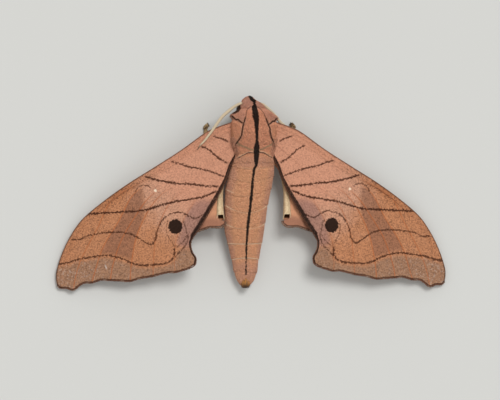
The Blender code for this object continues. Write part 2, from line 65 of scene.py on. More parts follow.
class Side(Enum):
    """The two sides of the moth, with the sign of X on each."""

    LEFT = -1
    RIGHT = 1

    @property
    def word(self) -> str:
        """The side as it stands in the names of nodes."""
        return self.name.lower()


def smooth_path(points: Sequence[Sequence[float]], count: int) -> np.ndarray:
    """Walks a smooth curve through a few points.

    Args:
        points: the points that the curve passes through, of any dimension.
        count: how many places to return.

    Returns:
        Evenly spaced places along the curve, one row each.
    """
    given = np.array(points, dtype=float)
    ends = np.vstack([2 * given[0] - given[1], given, 2 * given[-1] - given[-2]])
    step = np.linspace(0.0, 1.0, 12, endpoint=False)[:, None]
    dense = []
    for index in range(1, len(ends) - 2):
        before, start, end, after = ends[index - 1:index + 3]
        dense.append(0.5 * (2 * start + (end - before) * step
                            + (2 * before - 5 * start + 4 * end - after) * step ** 2
                            + (3 * start - before - 3 * end + after) * step ** 3))
    line = np.vstack([*dense, given[-1:]])
    lengths = np.concatenate([[0.0], np.cumsum(np.linalg.norm(np.diff(line, axis=0), axis=1))])
    wanted = np.linspace(0.0, lengths[-1], count)
    return np.stack([np.interp(wanted, lengths, column) for column in line.T], axis=1)


def ease(values: np.ndarray, low: float, high: float) -> np.ndarray:
    """Rises smoothly from 0 at low to 1 at high; low may be the larger, for a fall."""
    share = np.clip((np.asarray(values, dtype=float) - low) / (high - low), 0.0, 1.0)
    return share * share * (3.0 - 2.0 * share)


def unit(vectors: np.ndarray, least: float = 0.0) -> np.ndarray:
    """Vectors brought to length one, with lengths under the least taken as the least."""
    return vectors / np.maximum(np.linalg.norm(vectors, axis=-1, keepdims=True), least)


def laid_flat(lie: np.ndarray, normals: np.ndarray) -> np.ndarray:
    """Rough directions turned to lie along a surface, whose normals are given."""
    return unit(lie - normals * np.sum(lie * normals, axis=1, keepdims=True))


def turned_out(normals: np.ndarray, outward: np.ndarray) -> np.ndarray:
    """Normals turned to the side that rough outward directions show."""
    return normals * np.sign(np.sum(normals * outward, axis=1, keepdims=True) + 1e-9)


def line_marks(x: np.ndarray, y: np.ndarray, points: Sequence[Sequence[float]]) -> np.ndarray:
    """Measures places against a drawn line, seen from above.

    Args:
        x: places across the moth.
        y: places along the moth.
        points: the few points that the smooth line passes through.

    Returns:
        Three numbers a place: its signed distance from the line, which runs on straight past
        its ends, how far it lies inside the nearer end, and zero.
    """
    path = smooth_path(points, 8 * len(points))
    run = np.linalg.norm(np.diff(path, axis=0), axis=1)
    total = run.sum()
    starts = np.vstack([path[0] - (path[1] - path[0]) / run[0] * RUN_ON, path])
    ends = np.vstack([path, path[-1] + (path[-1] - path[-2]) / run[-1] * RUN_ON])
    places = np.stack([np.ravel(x), np.ravel(y)], axis=1)
    best = np.full(len(places), 1e9)
    signed = np.zeros(len(places))
    inside = np.zeros(len(places))
    at = -RUN_ON
    for start, end in zip(starts, ends):
        length = np.linalg.norm(end - start)
        ahead = (end - start) / length
        along = np.clip((places - start) @ ahead, 0.0, length)
        off = places - start - along[:, None] * ahead
        distance = np.linalg.norm(off, axis=1)
        nearer = distance < best
        side = np.where(ahead[0] * off[:, 1] - ahead[1] * off[:, 0] >= 0, 1.0, -1.0)
        best = np.where(nearer, distance, best)
        signed = np.where(nearer, distance * side, signed)
        inside = np.where(nearer, np.minimum(at + along, total - at - along), inside)
        at += length
    shape = np.shape(x)
    return np.stack([signed.reshape(shape), inside.reshape(shape), np.zeros(shape)], axis=-1)


def path_distance(x: np.ndarray, y: np.ndarray, points: Sequence[Sequence[float]]) -> np.ndarray:
    """Plain distance of places from a drawn line, in millimetres."""
    marks = line_marks(x, y, points)
    return np.hypot(marks[..., 0], np.minimum(marks[..., 1], 0.0))


def set_marks(mesh: bpy.types.Mesh, marks: dict[str, np.ndarray]) -> None:
    """Stores what a finish reads at each vertex, as numbers or as vectors of three."""
    for name, values in marks.items():
        values = np.asarray(values, dtype=np.float32)
        if values.ndim == 1:
            mesh.attributes.new(name, "FLOAT", "POINT").data.foreach_set("value", values)
        else:
            layer = mesh.attributes.new(name, "FLOAT_VECTOR", "POINT")
            layer.data.foreach_set("vector", values.ravel())


def shown(name: str, mesh: bpy.types.Mesh) -> bpy.types.Object:
    """Puts a mesh in the scene as a piece at the origin."""
    piece = bpy.data.objects.new(name, mesh)
    bpy.context.scene.collection.objects.link(piece)
    return piece


def grid_piece(name: str, surface: np.ndarray, marks: dict[str, np.ndarray]) -> bpy.types.Object:
    """Shapes a bmesh grid to a surface, and closes it where its edges meet.

    Args:
        name: the piece's name.
        surface: places in millimetres, indexed across, along and by axis.
        marks: values at the same places, indexed alike.

    Returns:
        The piece, with its seams and poles welded and its faces smooth.
    """
    across, along = surface.shape[:2]
    maker = bmesh.new()
    bmesh.ops.create_grid(maker, x_segments=across - 1, y_segments=along - 1, size=1.0)
    mesh = bpy.data.meshes.new(name)
    maker.to_mesh(mesh)
    maker.free()
    plan = np.zeros(len(mesh.vertices) * 3)
    mesh.vertices.foreach_get("co", plan)
    plan = plan.reshape(-1, 3)
    column = np.rint((plan[:, 0] + 1) / 2 * (across - 1)).astype(int)
    row = np.rint((plan[:, 1] + 1) / 2 * (along - 1)).astype(int)
    mesh.vertices.foreach_set("co", (surface[column, row] * MM).ravel())
    set_marks(mesh, {key: np.asarray(values)[column, row] for key, values in marks.items()})
    maker = bmesh.new()
    maker.from_mesh(mesh)
    bmesh.ops.remove_doubles(maker, verts=maker.verts, dist=WELD)
    bmesh.ops.recalc_face_normals(maker, faces=maker.faces)
    maker.to_mesh(mesh)
    maker.free()
    mesh.shade_smooth()
    return shown(name, mesh)


def face_up(piece: bpy.types.Object) -> None:
    """Turns an open sheet so that its faces look up."""
    maker = bmesh.new()
    maker.from_mesh(piece.data)
    maker.normal_update()
    if sum(face.normal.z * face.calc_area() for face in maker.faces) < 0:
        bmesh.ops.reverse_faces(maker, faces=maker.faces)
    maker.to_mesh(piece.data)
    maker.free()


def thicken(piece: bpy.types.Object, thickness: float, inside_slot: int = 1) -> None:
    """Gives a sheet its thickness on the side away from its faces, with a second finish there."""
    wall = piece.modifiers.new("wall", "SOLIDIFY")
    wall.thickness = thickness * MM
    wall.offset = -1
    wall.material_offset = inside_slot
    wall.material_offset_rim = 0
    evaluated = piece.evaluated_get(bpy.context.evaluated_depsgraph_get())
    mesh = bpy.data.meshes.new_from_object(evaluated)
    piece.modifiers.clear()
    piece.data = mesh
    mesh.shade_smooth()


def place_piece(piece: bpy.types.Object, nodes: Sequence[str] = ()) -> bpy.types.Object:
    """Ties a finished piece to the moth's body and logs it.

    Args:
        piece: the piece.
        nodes: the CAD nodes that the piece stands for.

    Returns:
        The same piece.
    """
    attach(piece, "root")
    if nodes:
        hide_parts(*nodes)
    LOG.info("%s: %d faces", piece.name, len(piece.data.polygons))
    return piece


def paint_code(red: int, green: int, blue: int) -> tuple[float, float, float, float]:
    """A paint given in the usual 0 to 255 steps, as the shader's linear colour."""
    steps = [part / 255 for part in (red, green, blue)]
    linear = [part / 12.92 if part <= 0.04045 else ((part + 0.055) / 1.055) ** 2.4 for part in steps]
    return (*linear, 1.0)


@dataclass(frozen=True)
class Tone:
    """One output of a finish's nodes, which Python's operators carry on from."""

    bench: "Bench"
    socket: bpy.types.NodeSocket

    def __add__(self, other: "Amount") -> "Tone":
        """Sum."""
        return self.bench.maths("ADD", self, other)

    __radd__ = __add__

    def __sub__(self, other: "Amount") -> "Tone":
        """Difference."""
        return self.bench.maths("SUBTRACT", self, other)

    def __rsub__(self, other: "Amount") -> "Tone":
        """Difference from a number."""
        return self.bench.maths("SUBTRACT", other, self)

    def __mul__(self, other: "Amount") -> "Tone":
        """Product."""
        return self.bench.maths("MULTIPLY", self, other)

    __rmul__ = __mul__

    def __abs__(self) -> "Tone":
        """Size without sign."""
        return self.bench.maths("ABSOLUTE", self)

    def part(self, axis: int) -> "Tone":
        """One axis of a vector."""
        return self.bench.value("ShaderNodeSeparateXYZ", {}, {0: self}, output=axis)

    def over(self, low: float, high: float) -> "Tone":
        """0 below low, 1 above high and a smooth rise between; low may be the larger."""
        settings = {"interpolation_type": "SMOOTHSTEP", "clamp": True}
        ends = {1: low, 2: high, 3: 0.0, 4: 1.0} if low < high else {1: high, 2: low, 3: 1.0, 4: 0.0}
        return self.bench.value("ShaderNodeMapRange", settings, {0: self, **ends})


Amount = Union[Tone, float]
Colour = Union[Tone, tuple]


class Bench:
    """The nodes of one finish, built up by expressions."""

    SHEEN_ROUGHNESS = 0.4
    SPECULAR = 0.15

    def __init__(self, name: str) -> None:
        """Starts a finish with a bare shader.

        Args:
            name: the material's name.
        """
        self.material = bpy.data.materials.new(name)
        self.material.use_nodes = True
        self.tree = self.material.node_tree
        self.tree.nodes.clear()
        self.shader = self.node("ShaderNodeBsdfPrincipled", {}, {})
        self.node("ShaderNodeOutputMaterial", {}, {"Surface": Tone(self, self.shader.outputs[0])})
        self.place = self.value("ShaderNodeTexCoord", {}, {}, output="Object")

    def node(self, kind: str, settings: dict, inputs: dict) -> bpy.types.Node:
        """Adds any node.

        Args:
            kind: the node's type.
            settings: properties that are set first.
            inputs: values or links, by the name or number of the socket.

        Returns:
            The node.
        """
        made = self.tree.nodes.new(kind)
        for key, value in settings.items():
            setattr(made, key, value)
        for key, value in inputs.items():
            if isinstance(value, Tone):
                self.tree.links.new(value.socket, made.inputs[key])
            else:
                made.inputs[key].default_value = value
        return made

    def value(self, kind: str, settings: dict, inputs: dict, output: Union[int, str] = 0) -> Tone:
        """Adds any node and takes one of its outputs."""
        return Tone(self, self.node(kind, settings, inputs).outputs[output])

    def maths(self, operation: str, *parts: Amount) -> Tone:
        """Adds one Math node."""
        return self.value("ShaderNodeMath", {"operation": operation}, dict(enumerate(parts)))

    def mark(self, name: str) -> Tone:
        """A vector that a piece stores at its vertices."""
        return self.value("ShaderNodeAttribute", {"attribute_name": name}, {}, output="Vector")

    def amount(self, name: str) -> Tone:
        """A number that a piece stores at its vertices."""
        return self.value("ShaderNodeAttribute", {"attribute_name": name}, {}, output="Fac")

    def noise(self, scale: float, detail: float = 2.0, roughness: float = 0.5) -> Tone:
        """Soft noise around 0.5, with its scale given per millimetre."""
        return self.value("ShaderNodeTexNoise", {}, {"Vector": self.place, "Scale": scale / MM,
                                                     "Detail": detail, "Roughness": roughness})

    def cells(self, scale: float) -> Tone:
        """One random number from 0 to 1 for each small cell, like single scales."""
        inputs = {"Vector": self.place, "Scale": scale / MM}
        return self.value("ShaderNodeTexVoronoi", {}, inputs, output="Color").part(0)

    def mix(self, share: Amount, under: Colour, over: Colour) -> Tone:
        """Lays one colour over another by a share from 0 to 1."""
        return self.value("ShaderNodeMix", {"data_type": "RGBA"}, {0: share, 6: under, 7: over}, output=2)

    def shade(self, colour: Colour, amount: Amount) -> Tone:
        """Brightens or darkens a colour by a factor near 1."""
        return self.value("ShaderNodeVectorMath", {"operation": "SCALE"}, {0: colour, "Scale": amount})

    def stroke(self, name: str, half_width: float, ragged: Tone, soft: float = 0.1) -> Tone:
        """The share of a drawn line, from its marks, with a ragged edge.

        Args:
            name: the line's marks.
            half_width: half its width in millimetres.
            ragged: millimetres by which its edge wanders.
            soft: half the width of its edge.

        Returns:
            1 on the line and 0 off it.
        """
        marks = self.mark(name)
        off = abs(marks.part(0)) + ragged
        return off.over(half_width + soft, half_width - soft) * (marks.part(1) + ragged).over(-0.25, 0.35)

    def finish(self, colour: Colour, roughness: Amount, height: Amount = None, depth: float = 0.05,
               sheen: float = 0.0) -> bpy.types.Material:
        """Feeds the shader.

        Args:
            colour: base colour.
            roughness: roughness.
            height: height of a bump, in shares of its depth.
            depth: depth of the bump in millimetres.
            sheen: weight of a soft velvet sheen.

        Returns:
            The material.
        """
        for key, value in (("Base Color", colour), ("Roughness", roughness)):
            if isinstance(value, Tone):
                self.tree.links.new(value.socket, self.shader.inputs[key])
            else:
                self.shader.inputs[key].default_value = value
        if height is not None:
            inputs = {"Height": height, "Distance": depth * MM, "Strength": 1.0}
            bump = self.value("ShaderNodeBump", {}, inputs)
            self.tree.links.new(bump.socket, self.shader.inputs["Normal"])
        self.shader.inputs["Sheen Weight"].default_value = sheen
        self.shader.inputs["Sheen Roughness"].default_value = self.SHEEN_ROUGHNESS
        self.shader.inputs["Specular IOR Level"].default_value = self.SPECULAR
        return self.material


@dataclass(frozen=True)
class ForewingFinish:
    """Scales of the forewing's upper side: pink root, orange-brown blade, grey tip, dark lines."""

    pink: tuple = paint_code(203, 145, 117)
    rose: tuple = paint_code(192, 143, 116)
    orange: tuple = paint_code(179, 122, 86)
    brown: tuple = paint_code(132, 90, 70)
    grey: tuple = paint_code(153, 114, 88)
    rust: tuple = paint_code(168, 106, 66)
    lilac: tuple = paint_code(146, 108, 98)
    speck: tuple = paint_code(88, 60, 46)
    vein: tuple = paint_code(176, 98, 54)
    line: tuple = paint_code(64, 32, 18)
    black: tuple = paint_code(25, 9, 3)
    white: tuple = paint_code(236, 216, 190)
    frost: tuple = paint_code(200, 182, 170)

    # Each drawn line, half its width in millimetres and how strongly it covers.
    LINES = (
        ("line_1", 0.2, 0.85), ("line_2", 0.22, 0.9), ("line_3", 0.2, 0.88), ("line_4", 0.23, 0.94),
        ("line_5", 0.23, 0.95), ("line_6", 0.17, 0.84), ("line_7", 0.21, 0.88),
        ("loop_outer", 0.09, 0.6), ("loop_inner", 0.1, 0.7), ("loop_low", 0.14, 0.75), ("hook", 0.13, 0.75),
    )

    def upper(self) -> bpy.types.Material:
        """Builds the finish of the upper side."""
        bench = Bench("forewing_upper")
        zones = bench.mark("zones")
        fine = bench.noise(2.6, 3.0, 0.65)
        broad = bench.noise(0.35, 3.0, 0.55)
        scale_tint = bench.cells(4.0)
        wander = (bench.noise(2.4, 2.0, 0.7) - 0.5) * 1.2 + (bench.cells(4.0) - 0.5) * 0.28
        soft_wander = (broad - 0.5) * 0.5

        ground = bench.mix((zones.part(0) + soft_wander).over(0.0, 0.55), self.orange, self.rose)
        ground = bench.mix((zones.part(0) + soft_wander).over(0.45, 1.0), ground, self.pink)
        ground = bench.mix((bench.amount("grey") + soft_wander * 0.6).over(0.1, 0.9), ground, self.grey)
        ground = bench.mix((zones.part(1) + soft_wander * 0.5).over(0.1, 0.9) * 0.66, ground, self.brown)
        ground = bench.mix((zones.part(2) + soft_wander * 0.5).over(0.1, 0.9) * 0.72, ground, self.lilac)
        edges = bench.mark("edges")
        costal = (edges.part(0) + soft_wander * 2.0).over(3.4, 0.6) * bench.amount("grey").over(0.3, 0.0)
        costal = costal * (zones.part(0).over(1.0, 0.3) * 0.75 + 0.25)
        ground = bench.mix(costal * 0.5, ground, self.rust)
        dusk = bench.amount("dusk")
        specks = bench.noise(2.9, 3.0, 0.75).over(0.5, 0.6) * (0.3 + dusk * 0.3 + costal * 0.25)
        ground = bench.mix(specks, ground, self.speck)
        frosting = bench.noise(1.7, 3.0, 0.65).over(0.52, 0.66) * bench.amount("frost") * 0.34
        ground = bench.mix(frosting, ground, self.frost)
        grain = scale_tint * (0.14 + dusk * 0.2) + broad * 0.06 + (fine.over(0.36, 0.64) - 0.5) * 0.14
        ground = bench.shade(ground, 0.9 + grain)

        veins = bench.mark("veins")
        vein_share = (veins.part(0) + (fine - 0.5) * 0.16).over(0.18, 0.07) * veins.part(1)
        coat = bench.mix(vein_share * 0.7, ground, self.vein)
        for name, half_width, cover in self.LINES:
            line = bench.stroke(name, half_width, wander * (0.55 + half_width)) * cover
            coat = bench.mix(line, coat, self.line)
        spot = (bench.amount("spot") + wander * 0.6).over(0.08, -0.12)
        coat = bench.mix(spot * 0.97, coat, self.black)
        coat = bench.mix((bench.amount("dot") + wander * 0.4).over(0.12, -0.12), coat, self.white)
        coat = bench.mix(bench.stroke("nick", 0.13, wander * 0.4) * 0.8, coat, self.frost)
        band = (edges.part(2) + wander * 0.4).over(0.8, 0.56)
        coat = bench.mix(band * (0.96 - fine.over(0.5, 0.7) * 0.16), coat, self.black)
        coat = bench.mix((edges.part(0) + wander * 0.3).over(0.3, 0.12) * 0.75, coat, self.speck)
        coat = bench.mix((edges.part(1) + wander * 0.3).over(0.34, 0.14) * 0.85, coat, self.line)
        coat = bench.mix(edges.part(1).over(0.05, 0.0) * 0.5, coat, self.speck)
        height = scale_tint * 0.4 + fine * 0.6
        return bench.finish(coat, 0.78 + fine * 0.15, height, 0.05, sheen=0.06)

    def under(self) -> bpy.types.Material:
        """Builds the finish of the underside, plainer and paler, with the outer lines faint."""
        bench = Bench("forewing_under")
        fine = bench.noise(4.0, 3.0, 0.6)
        ground = bench.mix(bench.noise(0.3, 3.0).over(0.35, 0.65) * 0.5, self.orange, self.grey)
        ground = bench.mix(bench.mark("veins").part(0).over(0.26, 0.1) * 0.4, ground, self.vein)
        for name in ("line_5", "line_6", "line_7"):
            ground = bench.mix(bench.stroke(name, 0.22, (fine - 0.5) * 0.5, 0.3) * 0.4, ground, self.line)
        ground = bench.mix(fine.over(0.55, 0.7) * 0.3, ground, self.speck)
        return bench.finish(bench.shade(ground, 0.9 + bench.cells(5.0) * 0.16), 0.85, fine, 0.05, sheen=0.1)

    def fringe(self) -> bpy.types.Material:
        """Builds the finish of the short scales along the margin."""
        bench = Bench("wing_fringe")
        colour = bench.mix(bench.amount("tint"), self.brown, self.speck)
        return bench.finish(bench.mix(bench.amount("pale") * 0.8, colour, self.white), 0.85)


@dataclass(frozen=True)
class HindwingFinish:
    """Scales of the hindwing: pinkish brown, the rolled edge cream, painted shade on it and in its mouth."""

    pink: tuple = paint_code(214, 153, 117)
    dull: tuple = paint_code(164, 114, 90)
    edge: tuple = paint_code(74, 43, 31)
    cream: tuple = paint_code(222, 198, 160)
    shade_cream: tuple = paint_code(176, 142, 104)
    # Painted shade for the hollow inside the roll's mouth.
    dark: tuple = paint_code(62, 38, 18)
    fleck: tuple = paint_code(214, 134, 86)

    def upper(self) -> bpy.types.Material:
        """Builds the finish of the membrane."""
        bench = Bench("hindwing_membrane")
        fine = bench.noise(4.5, 3.0, 0.6)
        margin = bench.mark("edges").part(1)
        ground = bench.mix((margin + (bench.noise(0.5) - 0.5) * 2.0).over(3.4, 1.0), self.pink, self.dull)
        ground = bench.mix(fine.over(0.55, 0.68) * 0.35, ground, self.dull)
        fleck = (bench.amount("fleck") + (fine - 0.5) * 0.6).over(0.6, 0.1) * 0.7
        ground = bench.mix(fleck, ground, self.fleck)
        ground = bench.mix((margin + (fine - 0.5) * 0.3).over(0.3, 0.1) * 0.85, ground, self.edge)
        ground = bench.shade(ground, 0.92 + bench.cells(5.0) * 0.14)
        return bench.finish(ground, 0.85, fine, 0.05, sheen=0.12)

    def rolled_edge(self) -> bpy.types.Material:
        """Builds the finish of the roll's outside: cream, with painted shade streaked along it and at its
        front.
        """
        bench = Bench("rolled_edge_outside")
        streak = bench.amount("turn") * 6.0 + bench.noise(1.2) * 2.0
        wave = bench.maths("SINE", streak * 6.28) * 0.5 + 0.5
        # Painted shade: olive streaks along the roll.
        colour = bench.mix(wave * 0.5 + bench.noise(3.0).over(0.5, 0.7) * 0.3, self.cream, self.shade_cream)
        # Painted shade, darker towards the roll's front end.
        colour = bench.mix(bench.amount("along").over(0.85, 0.35) * 0.75, colour, self.shade_cream)
        return bench.finish(colour, 0.8, wave, 0.04, sheen=0.1)

    def roll_inside(self) -> bpy.types.Material:
        """Builds the finish inside the roll's mouth: dark brown painted shade, with pink at its rim."""
        bench = Bench("rolled_edge_inside")
        # Painted shade: the hollow inside the mouth is dark brown.
        colour = bench.mix(bench.noise(3.0).over(0.4, 0.7) * 0.4, self.dark, self.edge)
        return bench.finish(bench.mix(bench.amount("along").over(0.95, 0.975) * 0.8, colour, self.pink), 0.9)


@dataclass(frozen=True)
class BodyFinish:
    """Fur and scales of the body, on the skin and on the tufts alike."""

    rust: tuple = paint_code(219, 151, 118)
    salmon: tuple = paint_code(212, 154, 115)
    lilac: tuple = paint_code(190, 139, 120)
    belly: tuple = paint_code(172, 126, 100)
    shadow: tuple = paint_code(150, 96, 68)
    black: tuple = paint_code(17, 9, 5)
    line: tuple = paint_code(50, 24, 12)
    cream: tuple = paint_code(230, 200, 166)
    olive: tuple = paint_code(164, 138, 104)
    rim: tuple = paint_code(206, 156, 130)

    # Each dark line, half its width in millimetres and how strongly it covers.
    DARK_LINES = (
        ("arc_shadow", 0.11, 0.85), ("plate_front", 0.11, 0.6), ("plate_line", 0.17, 0.92),
        ("cross_line", 0.18, 0.92), ("front_line", 0.12, 0.96),
    )

    def coat(self, name: str, tufted: bool) -> bpy.types.Material:
        """Builds the coat's finish.

        Args:
            name: the material's name.
            tufted: True for tufts, which store a tint and the share along each.

        Returns:
            The material.
        """
        bench = Bench(name)
        zones = bench.mark("zones")
        fine = bench.noise(4.6, 3.0, 0.7)
        broad = bench.noise(0.5, 3.0, 0.6)
        wander = (bench.noise(3.0, 2.0, 0.6) - 0.5) * 0.3
        grain = bench.cells(5.5) * 0.3 + bench.noise(2.4, 2.0, 0.7).over(0.36, 0.64)
        colour = bench.mix((zones.part(0) + (broad - 0.5) * 0.7).over(0.0, 1.0), self.rust, self.salmon)
        colour = bench.mix((zones.part(1) + (broad - 0.5) * 0.6).over(0.1, 0.9) * 0.85, colour, self.lilac)
        colour = bench.mix(zones.part(2).over(0.2, 0.9), colour, self.belly)
        colour = bench.mix(fine.over(0.52, 0.66) * 0.45, colour, self.shadow)
        seams = bench.maths("PINGPONG", bench.mark("segment").part(0), 0.5)
        reach = bench.mark("segment").part(1)
        colour = bench.mix((seams * 3.6 + wander * 0.4).over(0.15, 0.05) * reach * 0.85, colour, self.cream)
        for mark, half_width in (("plate_line", 0.42), ("cross_line", 0.4)):
            colour = bench.mix(bench.stroke(mark, half_width, wander) * 0.4, colour, self.rim)
        colour = bench.mix(bench.stroke("pale_v", 0.19, wander, 0.14) * 0.8, colour, self.olive)
        colour = bench.mix(bench.stroke("pale_arc", 0.1, wander) * 0.6, colour, self.cream)
        for mark, half_width, cover in self.DARK_LINES:
            colour = bench.mix(bench.stroke(mark, half_width, wander) * cover, colour, self.line)
        stripe = (bench.amount("stripe") + wander * 2.2).over(0.07, -0.07) * 0.98
        colour = bench.mix(stripe, colour, self.black)
        if tufted:
            shade = 0.82 + bench.amount("tint") * 0.2 + bench.amount("tip") * 0.08 + grain * 0.14
            return bench.finish(bench.shade(colour, shade), 0.82, sheen=0.04)
        height = fine * 0.7 + grain * 0.3
        return bench.finish(bench.shade(colour, 0.88 + grain * 0.16), 0.85, height, 0.08, sheen=0.04)


@dataclass(frozen=True)
class LimbFinish:
    """Finishes of the legs, feelers, eyes, claws and tail brush."""

    tan: tuple = paint_code(172, 146, 106)
    dusky: tuple = paint_code(92, 66, 44)
    cream: tuple = paint_code(206, 188, 158)
    feeler_brown: tuple = paint_code(112, 84, 60)
    black: tuple = paint_code(24, 18, 14)
    ochre: tuple = paint_code(210, 144, 76)
    umber: tuple = paint_code(84, 50, 26)

    def leg(self) -> bpy.types.Material:
        """Scaled tan leg, darker in spots and towards the foot."""
        bench = Bench("leg_scales")
        spots = bench.noise(1.1, 2.0, 0.6).over(0.5, 0.62)
        colour = bench.mix(spots * (0.35 + bench.amount("along") * 0.5), self.tan, self.dusky)
        fine = bench.noise(5.0, 2.0)
        return bench.finish(bench.shade(colour, 0.85 + bench.cells(6.0) * 0.25), 0.8, fine, 0.05, sheen=0.1)

    def claw(self) -> bpy.types.Material:
        """Dark horn of the claws and spurs."""
        bench = Bench("claw_horn")
        return bench.finish(bench.mix(bench.noise(2.0) * 0.5, self.black, self.dusky), 0.35)

    def feeler(self) -> bpy.types.Material:
        """Cream feeler with brown painted shade beneath and towards the body, dark at the hooked tip."""
        bench = Bench("feeler_scales")
        along = bench.amount("along")
        rings = bench.maths("PINGPONG", along * 60.0, 0.5) * 2.0
        # Painted shade: on feelers the turn mark holds how far a place faces down and towards the body,
        # painted brown.
        colour = bench.mix(bench.amount("turn").over(0.42, 0.62) * 0.8, self.cream, self.feeler_brown)
        colour = bench.mix(rings.over(0.25, 0.0) * 0.25, colour, self.feeler_brown)
        colour = bench.mix(along.over(0.88, 0.97) * 0.85, colour, self.umber)
        return bench.finish(bench.shade(colour, 0.92 + bench.noise(3.0) * 0.14), 0.7, rings, 0.04)

    def eye(self) -> bpy.types.Material:
        """Dark, glossy, finely faceted eye."""
        bench = Bench("eye_facets")
        cells = bench.value("ShaderNodeTexVoronoi", {"feature": "SMOOTH_F1"},
                            {"Vector": bench.place, "Scale": 9.0 / MM}, output="Distance")
        colour = bench.mix(bench.noise(0.8).over(0.4, 0.65) * 0.5, self.black, self.umber)
        return bench.finish(colour, 0.16, 1.0 - cells, 0.02)

    def brush(self) -> bpy.types.Material:
        """Ochre tail brush with dark ends."""
        bench = Bench("tail_brush_scales")
        tip = bench.amount("tip")
        colour = bench.mix(bench.amount("tint"), self.ochre, self.feeler_brown)
        colour = bench.mix(tip.over(0.74, 0.95) * 0.88, colour, self.umber)
        colour = bench.mix(tip.over(0.2, 0.05) * 0.45, colour, self.umber)
        return bench.finish(bench.shade(colour, 0.85 + bench.amount("tint") * 0.3), 0.8, sheen=0.1)


@dataclass(frozen=True)
class TuftSizes:
    """Least and most length, width and lift of some tufts, in millimetres."""

    lengths: tuple
    widths: tuple
    lifts: tuple

    def drawn(self, draw: np.random.Generator, count: int) -> tuple:
        """Draws the lengths, widths, lifts and tints of some tufts, in that order."""
        sizes = [draw.uniform(*reach, count) for reach in (self.lengths, self.widths, self.lifts)]
        return (*sizes, draw.random(count))


@dataclass
class Tufts:
    """Small closed blades set on a surface, each lying along it."""

    name: str
    roots: np.ndarray
    lie: np.ndarray
    normals: np.ndarray
    lengths: np.ndarray
    widths: np.ndarray
    lifts: np.ndarray
    plan: np.ndarray
    marks: dict[str, np.ndarray]
    sink: float = 0.12
    patch: float = 0.003
    map_edge: float = 0.01
    reader: Callable[[np.ndarray], dict] = None

    # Faces of a tuft over its seven points: three at the root, three half way and the tip.
    FACES = np.array([(0, 1, 2), (0, 3, 4), (0, 4, 1), (1, 4, 5), (1, 5, 2), (2, 5, 3), (2, 3, 0),
                      (3, 6, 4), (4, 6, 5), (5, 6, 3)])
    PATCH_PLACES = np.array([(0, 0), (1, 0), (0.5, 0.2), (0, 0.5), (1, 0.5), (0.5, 0.6), (0.5, 1)])
    ALONG = (0.0, 0.0, 0.0, 0.5, 0.5, 0.5, 1.0)

    def build(self) -> bpy.types.Object:
        """Makes the joined mesh: seven points and ten faces a tuft.

        Returns:
            The piece, with the marks of each root on its tuft and a small patch in OFBake.
        """
        count, points = len(self.roots), len(self.ALONG)
        across = unit(np.cross(self.lie, self.normals))
        length = self.lengths[:, None]
        half = self.widths[:, None] / 2
        base = self.roots - self.normals * self.sink
        middle = self.roots + self.lie * length * 0.5 + self.normals * (self.lifts[:, None] * 0.75)
        tip = self.roots + self.lie * length + self.normals * self.lifts[:, None]
        ridge = self.normals * half * 0.35
        corners = np.stack([base - across * half * 0.7, base + across * half * 0.7, base + ridge,
                            middle - across * half, middle + across * half, middle + ridge, tip], axis=1)
        faces = (self.FACES[None] + np.arange(count)[:, None, None] * points).reshape(-1, 3)
        mesh = bpy.data.meshes.new(self.name)
        mesh.vertices.add(count * points)
        mesh.vertices.foreach_set("co", (corners * MM).ravel())
        mesh.loops.add(len(faces) * 3)
        mesh.loops.foreach_set("vertex_index", faces.ravel())
        mesh.polygons.add(len(faces))
        mesh.polygons.foreach_set("loop_start", np.arange(len(faces)) * 3)
        mesh.update(calc_edges=True)
        plan = self.plan * (1 - 2 * self.map_edge) + self.map_edge
        bake = plan[:, None] + (self.PATCH_PLACES[None] - 0.5) * self.patch
        layer = mesh.uv_layers.new(name="OFBake")
        layer.data.foreach_set("uv", bake.reshape(-1, 2)[faces.ravel()].astype(np.float32).ravel())
        stored = {key: np.repeat(np.asarray(values), points, axis=0) for key, values in self.marks.items()}
        stored["tip"] = np.tile(self.ALONG, count)
        if self.reader is not None:
            stored.update(self.reader(corners.reshape(-1, 3)))
        set_marks(mesh, stored)
        return shown(self.name, mesh)

    def dress(self, finish: bpy.types.Material) -> bpy.types.Object:
        """Builds the tufts, gives them their finish and ties them to the moth's body."""
        piece = self.build()
        piece.data.materials.append(finish)
        return place_piece(piece)


def scatter(surface: np.ndarray, total: int, draw: np.random.Generator,
            density: Union[float, np.ndarray] = 1.0) -> tuple:
    """Draws random places on a grid surface.

    Args:
        surface: places indexed across, along and by axis.
        total: how many places to draw.
        draw: the seeded source of random numbers.
        density: how thickly places fall, indexed by the surface's cells.

    Returns:
        The places, the directions along the rows there, the normals, and the places as shares
        of the grid.
    """
    down = surface[:-1, 1:] - surface[:-1, :-1]
    side = surface[1:, :-1] - surface[:-1, :-1]
    area = np.linalg.norm(np.cross(side, down), axis=-1) * density
    chosen = draw.choice(area.size, size=total, p=(area / area.sum()).ravel())
    column, row = np.unravel_index(chosen, area.shape)
    u, v = draw.random(total), draw.random(total)
    side, down = side[column, row], down[column, row]
    places = surface[column, row] + side * u[:, None] + down * v[:, None]
    ahead = unit(down, 1e-9)
    normals = unit(np.cross(side, ahead), 1e-9)
    shares = np.stack([(column + u) / area.shape[0], (row + v) / area.shape[1]], axis=1)
    return places, ahead, normals, shares


